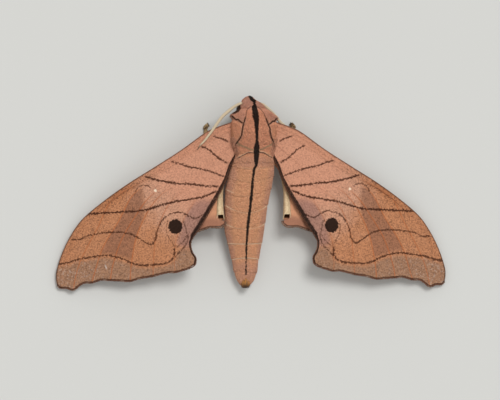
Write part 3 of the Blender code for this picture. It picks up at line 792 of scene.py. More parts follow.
def tube_surface(route: Sequence[Sequence[float]], radii: Sequence[float], rows: int, columns: int,
                 open_end: bool = False) -> np.ndarray:
    """Wraps a round surface along a smooth route.

    Args:
        route: the few points that the middle line passes through.
        radii: radii spaced evenly along it.
        rows: how many rings.
        columns: how many places round each ring.
        open_end: leaves the far end open.

    Returns:
        Places indexed round, along and by axis, closed to a point at each capped end.
    """
    path = smooth_path(route, rows)
    knots = np.linspace(0.0, 1.0, len(radii))
    sizes = np.interp(np.linspace(0.0, 1.0, rows), knots, radii)
    surface = np.zeros((columns + 1, rows, 3))
    side = None
    for row in range(rows):
        ahead = Vector(path[min(row + 1, rows - 1)] - path[max(row - 1, 0)]).normalized()
        guide = side if side is not None else Vector((0, 0, 1)).cross(ahead)
        side = (guide - ahead * guide.dot(ahead)).normalized()
        up = ahead.cross(side)
        for column in range(columns + 1):
            turn = FULL_TURN * (column % columns) / columns
            out = np.array(side * math.cos(turn) + up * math.sin(turn))
            surface[column, row] = path[row] + out * sizes[row]
    surface = np.concatenate([np.broadcast_to(path[0], (columns + 1, 1, 3)), surface], axis=1)
    if not open_end:
        surface = np.concatenate([surface, np.broadcast_to(path[-1], (columns + 1, 1, 3))], axis=1)
    return surface


def tube_marks(surface: np.ndarray) -> dict[str, np.ndarray]:
    """The share along a tube and round it at each of its places."""
    columns, rows = surface.shape[:2]
    along = np.broadcast_to(np.linspace(0, 1, rows), (columns, rows))
    turn = np.broadcast_to(np.linspace(0, 1, columns)[:, None], (columns, rows))
    return {"along": along, "turn": turn}


@dataclass
class WingPlane:
    """The gently folded plane in which the wings lie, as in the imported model."""

    root_height: float = 8.9
    fall: float = 0.17
    pitch: float = 0.045
    tip_droop: float = 0.9
    droop_from: float = 34.0
    droop_to: float = 46.4

    def height(self, x: np.ndarray, y: np.ndarray) -> np.ndarray:
        """Height of the forewing's middle surface over the floor."""
        span = np.abs(x)
        return self.root_height - self.fall * span - self.pitch * y \
            - self.tip_droop * ease(span, self.droop_from, self.droop_to)


@dataclass(frozen=True)
class Vein:
    """One long vein: its course over the wing and how its ridge begins and is coloured."""

    course: tuple
    ridge_from: float = 0.0
    coloured: float = 0.0
    height: float = 0.16


@dataclass
class Membrane:
    """A wing's sheet between its veins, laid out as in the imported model."""

    veins: Sequence[Vein]
    margin: Sequence[Sequence[float]]
    plane: WingPlane
    drop: float
    rows: int
    plain: int
    flute: float = 0.1
    ridge_width: float = 0.2
    lift: float = 0.08

    def layout(self) -> tuple:
        """Lays out lines from the body to the margin.

        Returns:
            The lines' plan places indexed by line and row, each place's distance from the
            nearest vein, that vein's ridge height, its colour share, and the sag between veins.
        """
        margin = smooth_path(self.margin, 900)
        courses = [smooth_path(vein.course, self.rows) for vein in self.veins]
        ends = [int(np.argmin(np.linalg.norm(margin - course[-1], axis=1))) for course in courses]
        shares_down = np.linspace(0.0, 1.0, self.rows)
        fade = shares_down ** 6
        spots = ease(np.arange(self.plain + 1) / self.plain, -0.12, 1.12)
        spots = (spots - spots[0]) / (spots[-1] - spots[0])
        lines, distances, ridges, tints, sags = [], [], [], [], []
        for index, vein in enumerate(self.veins[:-1]):
            here, there = courses[index], courses[index + 1]
            width = np.linalg.norm(there - here, axis=1)
            after = self.veins[index + 1]
            last = index == len(self.veins) - 2
            for share in spots if last else spots[:-1]:
                line = here + (there - here) * share
                bulge = margin[int(round(ends[index] + (ends[index + 1] - ends[index]) * share))] - line[-1]
                near = vein if share < 0.5 else after
                rise = ease(shares_down, near.ridge_from - 0.08, near.ridge_from + 0.04) \
                    if near.ridge_from else np.ones(self.rows)
                lines.append(line + bulge * fade[:, None])
                distances.append(width * min(share, 1 - share))
                ridges.append(near.height * rise)
                tints.append(near.coloured * rise * ease(shares_down, 0.38, 0.6))
                sags.append(np.sin(math.pi * share) * np.clip(width / 4, 0, 1))
        return tuple(np.array(part) for part in (lines, distances, ridges, tints, sags))

    def surface(self, side: Side) -> tuple:
        """Shapes the upper surface on one side.

        Args:
            side: the side of the moth.

        Returns:
            The surface, the plan places with X counted outwards, and the vein marks.
        """
        lines, distance, ridge, tint, sag = self.layout()
        x, y = lines[..., 0], lines[..., 1]
        relief = ridge * np.exp(-(distance / self.ridge_width) ** 2) - self.flute * sag
        z = self.plane.height(x, y) - self.drop + self.lift + relief
        return np.stack([x * side.value, y, z], axis=-1), (x, y), np.stack([distance, tint, ridge], axis=-1)


@dataclass
class Forewing:
    """A forewing with its drawn pattern, fringe and thin membrane."""

    side: Side
    plane: WingPlane
    finish: ForewingFinish
    rows: int = 150
    plain: int = 9
    thickness: float = 0.16
    spot_place: tuple = (18.6, -7.95)
    spot_radius: float = 1.66
    dot_place: tuple = (23.16, 0.55)
    dot_radius: float = 0.34
    seed: int = 11
    fringe_count: int = 1500
    nicks: int = 16

    FRINGE = TuftSizes((0.26, 0.4), (0.09, 0.15), (-0.03, 0.05))
    VEINS = (
        Vein(((5.0, 16.6), (8.5, 15.4), (11.5, 14.0), (17.1, 10.0), (23.4, 6.0), (29.8, 2.0), (35.4, -2.0),
              (40.1, -6.0), (42.95, -10.0), (44.9, -14.0), (46.2, -18.0), (46.36, -20.0), (46.1, -21.5)),
             height=0.2),
        Vein(((4.8, 15.9), (10.8, 13.3), (16.7, 9.2), (23.0, 5.1), (29.1, 1.1), (34.6, -2.8), (39.1, -6.7),
              (41.9, -10.6), (43.8, -14.6), (44.9, -18.5), (45.3, -22.1)), 0.0, 0.15),
        Vein(((4.7, 15.1), (12.0, 11.3), (20.0, 6.0), (27.0, 2.2), (32.9, -1.0), (36.6, -7.9), (40.2, -14.7),
              (41.6, -18.5), (42.5, -22.6)), 0.0, 0.9),
        Vein(((4.6, 14.4), (12.0, 9.9), (20.0, 4.7), (27.8, 0.2), (31.7, -6.4), (35.6, -12.9),
              (38.2, -20.9)), 0.5, 1.0),
        Vein(((4.45, 13.6), (12.0, 8.6), (19.0, 3.2), (24.6, -1.0), (28.2, -5.9), (31.3, -11.2),
              (33.3, -17.0), (33.9, -20.35)), 0.5, 1.0),
        Vein(((4.3, 12.9), (11.0, 8.1), (16.8, 2.8), (21.4, 0.0), (24.9, -4.2), (27.7, -10.3), (29.0, -16.9),
              (29.3, -20.6)), 0.45, 1.0),
        Vein(((4.15, 12.2), (10.5, 6.9), (15.6, 1.3), (20.0, -2.6), (22.9, -9.0), (23.8, -15.6),
              (24.0, -19.5)), 0.0, 0.7),
        Vein(((4.0, 11.5), (9.5, 5.4), (13.5, -1.0), (16.8, -6.5), (18.6, -11.5), (18.95, -15.5),
              (18.9, -18.65)), 0.4, 0.5),
        Vein(((3.85, 10.7), (8.0, 3.2), (11.7, -3.6), (14.6, -8.7), (16.3, -12.2), (15.6, -15.2),
              (15.6, -17.7))),
        Vein(((3.7, 9.9), (5.7, 6.4), (6.9, 3.0), (8.6, -0.4), (11.0, -4.6), (13.5, -8.65), (14.7, -10.4),
              (15.3, -12.0), (14.9, -14.0), (14.1, -15.4), (14.3, -16.9))),
    )
    MARGIN = (
        (46.1, -21.5), (45.3, -22.1), (44.0, -22.1), (42.5, -22.6), (41.3, -21.75), (40.0, -20.95),
        (38.2, -20.9), (36.0, -20.25), (33.9, -20.35), (31.5, -20.5), (29.3, -20.6), (27.0, -19.95),
        (25.0, -19.65), (24.0, -19.5), (22.0, -18.95), (20.4, -18.6), (18.9, -18.65), (17.0, -18.15),
        (15.6, -17.7), (14.3, -16.9),
    )
    LINES = {
        "line_1": ((9.6, 13.3), (8.2, 12.8), (7.1, 12.5), (6.0, 11.8)),
        "line_2": ((12.4, 10.9), (10.6, 10.1), (9.3, 8.9), (7.9, 7.8), (6.2, 6.9)),
        "line_3": ((19.4, 7.4), (17.2, 6.8), (15.3, 6.1), (13.2, 5.7), (11.1, 5.2), (9.1, 4.5), (7.0, 3.7)),
        "line_4": ((25.6, 3.9), (22.8, 3.1), (20.5, 2.6), (18.2, 2.2), (15.8, 2.1), (13.5, 1.8), (11.1, 1.5),
                   (8.4, 1.4)),
        "line_5": ((39.2, -4.8), (35.0, -4.6), (31.7, -4.4), (28.4, -4.3), (25.1, -3.9), (22.0, -2.9),
                   (18.8, -2.1), (15.5, -1.6), (12.2, -1.0), (8.9, 0.4)),
        "line_6": ((42.9, -10.8), (40.7, -10.7), (38.9, -9.9), (35.1, -9.3), (31.3, -9.2), (29.4, -9.5),
                   (27.6, -10.3), (26.0, -11.4), (24.3, -12.2), (23.3, -10.9), (22.9, -9.0), (22.1, -7.2),
                   (21.0, -5.7), (19.3, -4.8), (17.4, -4.6), (15.7, -5.3), (14.1, -6.1), (12.2, -5.2)),
        "line_7": ((46.0, -16.6), (43.5, -16.2), (41.4, -15.5), (37.2, -14.8), (35.0, -14.6), (32.9, -14.9),
                   (30.8, -15.5), (28.8, -16.4), (26.8, -17.0), (24.6, -16.9), (22.5, -16.8), (20.3, -16.3),
                   (19.1, -15.0), (18.9, -12.9)),
        "loop_outer": ((20.3, -6.4), (20.7, -8.2), (20.4, -10.0), (19.6, -11.4), (18.7, -12.8)),
        "loop_inner": ((16.9, -6.5), (16.2, -8.3), (16.1, -10.0), (16.7, -11.3), (17.7, -12.2),
                       (18.5, -12.9)),
        "loop_low": ((15.7, -9.6), (15.8, -11.4), (16.9, -13.1), (17.9, -14.1), (19.0, -15.3)),
        "hook": ((24.0, 1.1), (25.1, 1.8), (26.4, 1.8), (27.4, 1.0), (28.1, -0.4)),
    }
    NICK = ((35.05, -16.8), (34.85, -17.4), (34.7, -17.9))
    LILAC_PATH = ((11.5, -2.0), (14.6, -6.6), (16.0, -11.0), (16.6, -14.5))

    def marks(self, x: np.ndarray, y: np.ndarray) -> dict[str, np.ndarray]:
        """What the finish reads at plan places, with X counted outwards.

        Args:
            x: places outwards from the middle.
            y: places towards the head.

        Returns:
            Marks by name.
        """
        found = {name: line_marks(x, y, points) for name, points in self.LINES.items()}
        reach = np.hypot(x - 5.0, y - 12.0)
        pink = 1.0 - ease(reach, 13.0, 33.0)
        upper_vein, lower_vein = (line_marks(x, y, self.VEINS[index].course)[..., 0] for index in (3, 5))
        shade = (ease(-upper_vein, -0.1, 0.35) * ease(lower_vein, -0.1, 0.35)
                 * ease(y, 2.2, 0.4) * ease(x, 24.8, 27.0))
        lilac = (1.0 - ease(path_distance(x, y, self.LILAC_PATH), 0.6, 3.4)) * ease(y, 0.5, -4.0)
        lilac *= 1.0 - 0.75 * ease(y, -11.5, -13.5)
        beyond = found["line_7"][..., 0]
        found["zones"] = np.stack([pink, shade * ease(beyond, 0.5, -1.5), lilac], axis=-1)
        grey = ease(beyond, -0.4, 1.6) * np.maximum(ease(x, 19.5, 23.0), ease(y, -12.0, -14.5))
        found["grey"] = np.maximum(grey * 0.9, 0.25 * ease(reach, 24, 44))
        found["frost"] = grey * (0.35 + 0.65 * ease(x, 34.0, 44.0))
        found["dusk"] = ease(reach, 10.0, 32.0)
        found["spot"] = np.hypot(x - self.spot_place[0], (y - self.spot_place[1]) / 1.07) - self.spot_radius
        found["dot"] = np.hypot(x - self.dot_place[0], y - self.dot_place[1]) - self.dot_radius
        costa = np.abs(line_marks(x, y, self.VEINS[0].course)[..., 0])
        outer = path_distance(x, y, self.MARGIN)
        inner = path_distance(x, y, self.VEINS[-1].course)
        inner *= 1.0 + 2.2 * ease(y, -9.5, -12.0) + 0.35 * ease(y, -4.0, 2.0) + 0.9 * ease(y, 1.0, 6.0)
        found["edges"] = np.stack([costa, outer, inner], axis=-1)
        found["nick"] = line_marks(x, y, self.NICK) if self.side is Side.LEFT else found["line_1"] * 0 + FAR
        return found

    def build(self) -> None:
        """Builds the wing's sheet and its fringe."""
        membrane = Membrane(self.VEINS, self.MARGIN, self.plane, 0.0, self.rows, self.plain)
        surface, (x, y), veins = membrane.surface(self.side)
        piece = grid_piece(f"forewing_{self.side.word}_sheet", surface, {**self.marks(x, y), "veins": veins})
        face_up(piece)
        piece.data.materials.append(self.finish.upper())
        piece.data.materials.append(self.finish.under())
        thicken(piece, self.thickness)
        place_piece(piece, [f"forewing_{self.side.word}"])
        self.fringe()

    def fringe(self) -> None:
        """Sets short overlapping scales along the outer and inner margins."""
        draw = np.random.default_rng(self.seed + self.side.value)
        count = self.fringe_count
        outline = smooth_path([*self.MARGIN, *self.VEINS[-1].course[::-1][1:]], count)
        ahead = unit(np.gradient(outline, axis=0))
        out = np.column_stack([-ahead[:, 1], ahead[:, 0]])
        share = np.linspace(0, 1, count)
        sign = np.array([self.side.value, 1.0])
        height = self.plane.height(outline[:, 0], outline[:, 1])
        lean = out * sign + ahead * sign * draw.uniform(-0.3, 0.3, (count, 1))
        lie = unit(np.column_stack([lean, draw.uniform(-0.15, 0.05, count)]))
        inner = ease(share, 0.55, 0.7)
        lengths, widths, lifts, tint = self.FRINGE.drawn(draw, count)
        nicks = 0.5 + 0.5 * np.cos(share * FULL_TURN * self.nicks)
        pale = (nicks > 0.9) * draw.uniform(0.0, 0.4, count) * (share < 0.5)
        Tufts(
            f"forewing_{self.side.word}_fringe", np.column_stack([outline * sign, height]), lie,
            np.tile(UPWARD, (count, 1)), lengths * (1 + 0.4 * inner), widths, lifts,
            np.column_stack([share, np.full(count, 0.5)]),
            {"tint": tint * 0.6 + 0.4 * inner, "pale": pale}, sink=0.03,
        ).dress(self.finish.fringe())


@dataclass
class Hindwing:
    """A hindwing under the forewing, with its inner edge rolled to a tube."""

    side: Side
    plane: WingPlane
    finish: HindwingFinish
    fringe_finish: ForewingFinish
    drop: float = 1.35
    rows: int = 70
    plain: int = 6
    thickness: float = 0.14
    fleck_place: tuple = (11.6, -5.1)
    fleck_radius: float = 0.3
    roll_drop: float = 0.42
    roll_wall: float = 0.16
    mouth_slant: float = 1.25
    seed: int = 23
    fringe_count: int = 420

    FRINGE = TuftSizes((0.3, 0.5), (0.09, 0.15), (-0.03, 0.05))
    VEINS = (
        Vein(((4.0, 11.0), (10.0, 9.6), (17.0, 7.2), (24.0, 4.2), (27.0, 2.0))),
        Vein(((3.9, 10.5), (11.0, 7.6), (18.0, 4.2), (25.4, -1.0))),
        Vein(((3.8, 10.0), (11.0, 5.8), (17.5, 1.2), (22.4, -4.8)), 0.3),
        Vein(((3.75, 9.5), (10.5, 4.2), (15.8, -1.5), (19.2, -7.4)), 0.3),
        Vein(((3.7, 9.0), (9.5, 3.0), (13.3, -3.2), (15.6, -9.2))),
        Vein(((3.7, 8.5), (8.4, 2.6), (10.8, -3.0), (11.9, -8.5))),
        Vein(((3.7, 8.0), (6.3, 4.6), (7.5, 1.0), (8.1, -3.0), (8.6, -5.4), (8.3, -6.4), (6.85, -6.8))),
    )
    MARGIN = (
        (27.0, 2.0), (26.6, 0.4), (25.4, -1.0), (22.4, -4.8), (19.2, -7.4), (15.6, -9.2), (13.6, -9.05),
        (11.9, -8.5), (10.6, -8.05), (9.5, -8.05), (8.45, -8.15), (7.7, -7.95), (7.0, -7.4), (6.85, -6.8),
    )
    ROLL = ((6.2, 5.6), (7.1, 3.0), (7.75, 0.2), (7.97, -2.5), (7.93, -5.3))
    ROLL_RADII = (0.28, 0.42, 0.62, 0.82, 1.0)

    def build(self) -> None:
        """Builds the sheet, its fringe and the rolled edge."""
        membrane = Membrane(self.VEINS, self.MARGIN, self.plane, self.drop, self.rows, self.plain)
        surface, (x, y), veins = membrane.surface(self.side)
        outer = path_distance(x, y, self.MARGIN)
        far = np.full(x.shape, FAR)
        fleck = np.hypot(x - self.fleck_place[0], y - self.fleck_place[1]) - self.fleck_radius
        marks = {"edges": np.stack([far, outer, far], axis=-1), "veins": veins, "fleck": fleck}
        piece = grid_piece(f"hindwing_{self.side.word}_sheet", surface, marks)
        face_up(piece)
        piece.data.materials.append(self.finish.upper())
        thicken(piece, self.thickness, 0)
        place_piece(piece, [f"hindwing_{self.side.word}"])
        self.roll()
        self.fringe()

    def roll(self) -> None:
        """Rolls the inner edge to a cream tube with an open mouth, painted dark inside as shade."""
        route = [(x * self.side.value, y, float(self.plane.height(x, y)) - self.drop - self.roll_drop)
                 for x, y in self.ROLL]
        surface = tube_surface(route, self.ROLL_RADII, 60, 32, open_end=True)
        centre = surface.mean(axis=0)
        low = np.clip(0.5 - (surface[..., 2] - centre[:, 2]) / (2 * max(self.ROLL_RADII)), 0, 1)
        rear = ease(np.linspace(0, 1, surface.shape[1]), 0.5, 1.0) ** 2
        surface[..., 1] -= self.mouth_slant * ease(low, 0.12, 0.45) * rear
        piece = grid_piece(f"hindwing_{self.side.word}_rolled_edge", surface, tube_marks(surface))
        piece.data.materials.append(self.finish.rolled_edge())
        piece.data.materials.append(self.finish.roll_inside())
        thicken(piece, self.roll_wall)
        place_piece(piece)

    def fringe(self) -> None:
        """Sets short pale scales along the free margin."""
        draw = np.random.default_rng(self.seed + self.side.value)
        count = self.fringe_count
        outline = smooth_path(self.MARGIN[4:], count)
        ahead = unit(np.gradient(outline, axis=0))
        out = np.column_stack([ahead[:, 1], -ahead[:, 0]])
        out *= np.where(out[:, 1:] > 0, -1.0, 1.0)
        sign = np.array([self.side.value, 1.0])
        height = self.plane.height(outline[:, 0], outline[:, 1]) - self.drop
        lie = unit(np.column_stack([out * sign, draw.uniform(-0.2, 0.1, count)]))
        lengths, widths, lifts, tint = self.FRINGE.drawn(draw, count)
        Tufts(
            f"hindwing_{self.side.word}_fringe", np.column_stack([outline * sign, height]), lie,
            np.tile(UPWARD, (count, 1)), lengths, widths, lifts,
            np.column_stack([np.linspace(0, 1, count), np.full(count, 0.5)]),
            {"tint": tint, "pale": draw.uniform(0.0, 0.7, count) ** 2}, sink=0.03,
        ).dress(self.fringe_finish.fringe())


@dataclass(frozen=True)
class Cover:
    """A stretch of the body, from one place along it to another, and the tufts that cover it."""

    name: str
    reach: tuple
    total: int
    sizes: TuftSizes
    seed: int


@dataclass
class Body:
    """Head, thorax and abdomen under one skin, with their coat of tufts."""

    finish: BodyFinish
    columns: int = 96
    rows: int = 230
    coat_depth: float = 0.28
    scale_depth: float = 0.12
    plate_height: float = 0.42
    collar_crease: float = 0.1
    collar_turn: float = 0.055
    segment_step: float = 0.1
    brow_height: float = 0.3
    corner_height: float = 0.5
    side_band: tuple = (0.42, 18.1, 20.7)
    right_band_level: float = 0.1
    hair_count: int = 1000
    hair_seed: int = 40

    HAIR = TuftSizes((0.7, 1.3), (0.08, 0.14), (0.0, 0.05))
    COVERS = (
        Cover("thorax_fur", (7.6, 20.0), 19000, TuftSizes((0.6, 1.1), (0.14, 0.23), (0.03, 0.13)), 31),
        Cover("head_fur", (19.4, 22.6), 8000, TuftSizes((0.5, 0.9), (0.1, 0.17), (0.03, 0.12)), 32),
        Cover("abdomen_scales", (-21.9, 8.4), 19500, TuftSizes((0.45, 0.75), (0.16, 0.26), (0.01, 0.05)), 33),
    )
    STATIONS = (
        (22.45, 0.45, 4.7, 5.5, -0.48), (22.0, 1.15, 4.4, 6.4, -0.62), (21.4, 2.0, 4.0, 7.5, -0.6),
        (20.7, 2.75, 3.7, 8.3, -0.38), (20.05, 3.15, 3.6, 8.8, -0.18), (19.75, 3.4, 3.6, 9.1, -0.12),
        (19.35, 3.9, 3.5, 9.7, -0.1), (18.5, 4.85, 3.3, 11.0, -0.05), (17.0, 5.4, 3.2, 12.3, 0.0),
        (14.5, 5.6, 3.1, 13.1, 0.0), (12.2, 5.35, 3.1, 12.9, 0.0), (10.0, 4.9, 3.2, 12.1, 0.0),
        (8.3, 4.7, 3.35, 11.4, 0.0), (5.0, 5.30, 2.9, 10.7, -0.4), (1.5, 5.5, 2.4, 9.9, -1.05),
        (-1.8, 5.27, 2.0, 9.2, -1.52), (-5.2, 5.04, 1.6, 8.4, -1.8), (-8.9, 4.75, 1.35, 7.6, -2.0),
        (-11.3, 4.25, 1.25, 6.9, -1.88), (-13.6, 3.78, 1.2, 6.2, -1.8), (-16.0, 3.25, 1.2, 5.5, -1.72),
        (-18.4, 2.85, 1.2, 4.9, -1.62), (-20.3, 2.25, 1.4, 4.2, -1.6), (-21.3, 1.7, 1.6, 3.7, -1.62),
        (-21.9, 1.15, 1.9, 3.2, -1.65),
    )
    JOINTS = (8.3, 5.4, 2.4, -1.0, -4.9, -8.7, -12.2, -15.5, -18.6, -22.0)
    JOINT_BOWS = (0.8, 1.2, 1.6, 1.9, 1.9, 1.1, 0.1, -0.4, -0.4, 0.0)
    STRIPE = ((22.8, 0.6), (22.1, 0.58), (21.66, 0.72), (21.3, 0.42), (21.1, 0.32), (20.75, 0.27),
              (20.4, 0.45), (20.0, 0.62), (18.95, 0.7), (17.8, 0.78), (16.7, 0.61), (15.5, 0.47),
              (13.6, 0.35), (12.7, 0.28), (11.8, 0.38), (11.0, 0.6), (10.4, 0.71), (9.6, 0.68),
              (8.4, 0.6), (7.3, 0.49), (6.4, 0.34), (5.3, 0.36), (3.7, 0.26), (2.3, 0.33), (0.0, 0.3),
              (-1.4, 0.4), (-2.2, 0.28), (-5.5, 0.34), (-7.5, 0.36), (-10.0, 0.26), (-13.5, 0.24),
              (-16.0, 0.18), (-17.0, 0.07), (-17.5, 0.17), (-19.5, 0.17), (-19.8, -0.3), (-23.0, -0.6))
    STRIPE_BEND = ((22.8, -0.42), (22.1, -0.17), (21.6, 0.09), (21.1, 0.25), (20.6, 0.14), (19.8, 0.06),
                   (17.8, -0.04), (16.7, 0.05), (15.5, -0.05), (12.0, 0.05), (7.0, 0.05), (6.2, 0.03),
                   (5.4, -0.42), (3.7, -0.6), (2.3, -0.76), (0.6, -0.84), (-3.6, -1.14), (-6.3, -1.47),
                   (-9.0, -1.68), (-11.0, -1.76), (-13.7, -1.79), (-17.8, -1.75), (-20.0, -1.68))
    LINES = {
        "plate_line": ((2.4, 17.6), (2.93, 16.0), (3.25, 14.9), (3.4, 13.8), (3.6, 13.0), (4.1, 12.15),
                       (4.6, 11.3), (5.05, 10.5)),
        "plate_front": ((0.7, 20.2), (1.65, 19.4), (2.15, 18.3), (2.45, 17.4)),
        "cross_line": ((5.5, 17.8), (4.95, 17.3), (4.5, 16.85), (4.15, 16.95), (3.6, 16.4), (3.0, 16.05)),
        "pale_v": ((0.5, 9.9), (1.35, 10.05), (2.2, 10.45), (2.75, 10.7), (3.3, 10.9), (4.0, 11.3),
                   (4.5, 11.9)),
        "pale_arc": ((0.5, 9.42), (1.0, 9.48), (2.0, 9.38), (2.65, 8.98), (3.3, 8.68), (4.3, 8.13)),
        "arc_shadow": ((0.5, 9.2), (1.0, 9.3), (2.0, 9.2), (2.6, 8.83), (3.25, 8.5), (4.2, 7.95)),
    }
    CORNERED = ("cross_line",)
    TEGULA = ((8.0, 5.9), (10.5, 5.05), (12.15, 4.1), (13.8, 3.4), (16.0, 2.93), (17.6, 2.4), (19.4, 1.65))

    def profile(self, y: np.ndarray) -> tuple:
        """Half width, middle height, half height and sideways bend of the outer form at y."""
        stations = smooth_path(self.STATIONS, 240)[::-1]
        half_width, underside, back, bend = (np.interp(y, stations[:, 0], stations[:, column])
                                             for column in range(1, 5))
        return half_width, (underside + back) / 2, (back - underside) / 2, bend

    def depth(self, y: np.ndarray) -> np.ndarray:
        """How deep the skin lies under the outer form."""
        return self.scale_depth + (self.coat_depth - self.scale_depth) * ease(y, 6.5, 9.5)

    def rise(self, x: np.ndarray, y: np.ndarray, up: np.ndarray) -> np.ndarray:
        """Relief of the shoulder plates, the collar and the overlapping segments."""
        edge = np.interp(y, *zip(*self.TEGULA))
        on_top = ease(up, 0.05, 0.4)
        width = np.abs(x)
        turned = self.turned(x, y)
        plates = (self.plate_height * ease(y, 9.4, 11.0) * ease(y, 19.4, 18.2)
                  * ease(width, edge - 0.25, edge + 0.25) * on_top)
        crease = line_marks(width, turned, self.LINES["cross_line"])[..., 0]
        collar = (-self.collar_crease * np.exp(-(crease / 0.3) ** 2) * ease(y, 15.5, 16.2)
                  * ease(y, 19.4, 18.4) * ease(width, 3.0, 3.4) * on_top)
        phase = self.segment(x, y)[..., 0]
        share = phase - np.floor(phase)
        tiles = ((self.segment_step * share ** 2 - self.segment_step * np.exp(-((share - 1.0) / 0.05) ** 2))
                 * ease(y, 7.8, 6.5) * ease(y, -21.4, -20))
        brow = (self.brow_height * ease(y, 19.0, 20.4) * ease(y, 22.0, 21.0) * ease(up, 0.1, 0.5)
                * ease(width, 0.7, 1.6))
        corner = (self.corner_height * np.exp(-((turned - 17.9) / 0.6) ** 2) * ease(width, 3.6, 4.6)
                  * ease(up, -0.5, -0.1))
        return plates + collar + tiles + brow + corner

    def turned(self, x: np.ndarray, y: np.ndarray) -> np.ndarray:
        """Places along the body as the collar counts them, which sits turned a little to the left."""
        return y + self.collar_turn * x * ease(y, 14.5, 16.5)

    def segment(self, x: np.ndarray, y: np.ndarray) -> np.ndarray:
        """The number of the abdomen's segment at a place, counted in fractions, and where it shows."""
        half_width, _, _, bend = self.profile(y)
        offset = np.clip(np.abs(x - bend) / np.maximum(half_width, 0.5), 0, 1) ** 2
        bow = np.interp(-y, [-joint for joint in self.JOINTS], self.JOINT_BOWS)
        level = y - bow * offset
        number = np.interp(-level, [-joint for joint in self.JOINTS], np.arange(len(self.JOINTS)))
        ends = ease(offset, 0.3, 0.75)
        seen = np.maximum(ease(y, -9.5, -11.5), ease(y, -2.0, -3.5) * (0.35 + 0.65 * ends))
        seen = np.maximum(seen, 0.9 * ease(y, 2.0, 0.8) * ends * (x < bend))
        seen = np.maximum(seen, 0.12 + 0.4 * ease(y, 4.2, 5.0))
        return np.stack([number, seen * ease(y, 6.3, 5.2) * ease(y, -17.8, -16.8), number * 0], axis=-1)

    def marks(self, places: np.ndarray) -> dict[str, np.ndarray]:
        """What the coat's finish reads at places on the body.

        Args:
            places: places in millimetres, with the axes last.

        Returns:
            Marks by name.
        """
        x, y, z = places[..., 0], places[..., 1], places[..., 2]
        half_width, middle, half_height, bend = self.profile(y)
        up = (z - middle) / half_height
        top = up > -0.3
        spine = np.interp(y, *zip(*self.STRIPE_BEND[::-1]))
        half_stripe = np.interp(y, *zip(*self.STRIPE[::-1]))
        found = {"stripe": np.where(top | (y > 21.6), np.abs(x - spine) - half_stripe, FAR)}
        turned = self.turned(x, y)
        for name, points in self.LINES.items():
            if name not in self.CORNERED:
                points = smooth_path(points, 5 * len(points))
            line = line_marks(np.abs(x), turned, points)
            line[..., 1] = np.where(top, line[..., 1], -FAR)
            found[name] = line
        level, rear_end, front_end = self.side_band
        level = np.where(x < bend, level, self.right_band_level)
        inside = np.minimum(turned - rear_end, front_end - turned)
        found["front_line"] = np.stack([np.maximum(up - level, 0) * half_height, inside, inside * 0], axis=-1)
        found["segment"] = self.segment(x, y)
        across = np.abs(x - bend) / np.maximum(half_width, 0.3)
        salmon = np.clip(0.15 + 0.6 * ease(y, 10.5, 7.0) + 0.2 * ease(across, 0.3, 0.8), 0, 1)
        edge = np.interp(y, *zip(*self.TEGULA))
        collar = ease(y, 15.8, 17.4) * ease(np.abs(x), edge - 0.3, edge + 0.5) * 0.6
        rear = ease(across, 0.66, 0.95) * ease(y, 8.6, 9.6) * ease(y, 13.5, 11.5)
        lilac = np.maximum(np.maximum(ease(y, 18.4, 20.4) * 0.8, collar), rear)
        lilac = np.maximum(lilac, 0.5 * ease(y, -14.0, -18.0))
        lilac = np.maximum(lilac, 0.6 * ease(across, 0.4, 0.9) * ease(y, 8.4, 5.0))
        lilac = np.maximum(lilac, 0.5 * ease(y, 5.2, 6.2) * ease(y, 9.0, 8.0))
        found["zones"] = np.stack([salmon, lilac, ease(up, -0.1, -0.6)], axis=-1)
        return found

    @classmethod
    def plain_marks(cls, shape: tuple, stripe: np.ndarray, zones: Sequence[float]) -> dict[str, np.ndarray]:
        """Marks of fur that has none of the body's drawn lines.

        Args:
            shape: the shape of the places.
            stripe: distance of each place from a black patch.
            zones: shares of salmon, lilac and belly colour, the same at every place.

        Returns:
            Marks by name.
        """
        off = np.stack([np.full(shape, FAR), np.full(shape, -FAR), np.zeros(shape)], axis=-1)
        return {**{name: off for name in (*cls.LINES, "front_line")}, "stripe": stripe,
                "segment": np.zeros((*shape, 3)), "zones": np.broadcast_to(np.array(zones), (*shape, 3))}

    def hair_marks(self, places: np.ndarray) -> dict[str, np.ndarray]:
        """Marks of the plain lilac hair that covers the wings' roots."""
        return self.plain_marks(places.shape[:1], np.full(len(places), FAR), (0.4, 0.45, 0.0))

    def skin_surface(self) -> np.ndarray:
        """Places of the skin, indexed round, along from head to tail, and by axis."""
        front, back = self.STATIONS[0][0], self.STATIONS[-1][0]
        rows = np.linspace(0, 1, self.rows)
        y = front - 0.12 - (front - back - 0.2) * rows
        y = np.broadcast_to(y, (self.columns + 1, self.rows))
        turn = FULL_TURN * (np.arange(self.columns + 1) % self.columns) / self.columns
        turn = np.broadcast_to(turn[:, None], y.shape)
        half_width, middle, half_height, bend = self.profile(y)
        across, up = np.cos(turn), np.sin(turn)
        roof = 2.0 - 0.4 * ease(y, 7.0, 10.0) * ease(y, 20.4, 18.6)
        power = np.where(up > 0, roof, 2.0)
        x = np.sign(across) * np.abs(across) ** (2 / power)
        z = np.sign(up) * np.abs(up) ** (2 / power)
        depth = self.depth(y) - self.rise(x * half_width, y, z)
        width = np.maximum(half_width - depth, 0.1)
        height = np.maximum(half_height - depth, 0.1)
        surface = np.stack([bend + x * width, y, middle + z * height], axis=-1)
        caps = [surface[:, row].mean(axis=0) for row in (0, -1)]
        first, last = (np.broadcast_to(cap, (self.columns + 1, 1, 3)) for cap in caps)
        return np.concatenate([first, surface, last], axis=1)

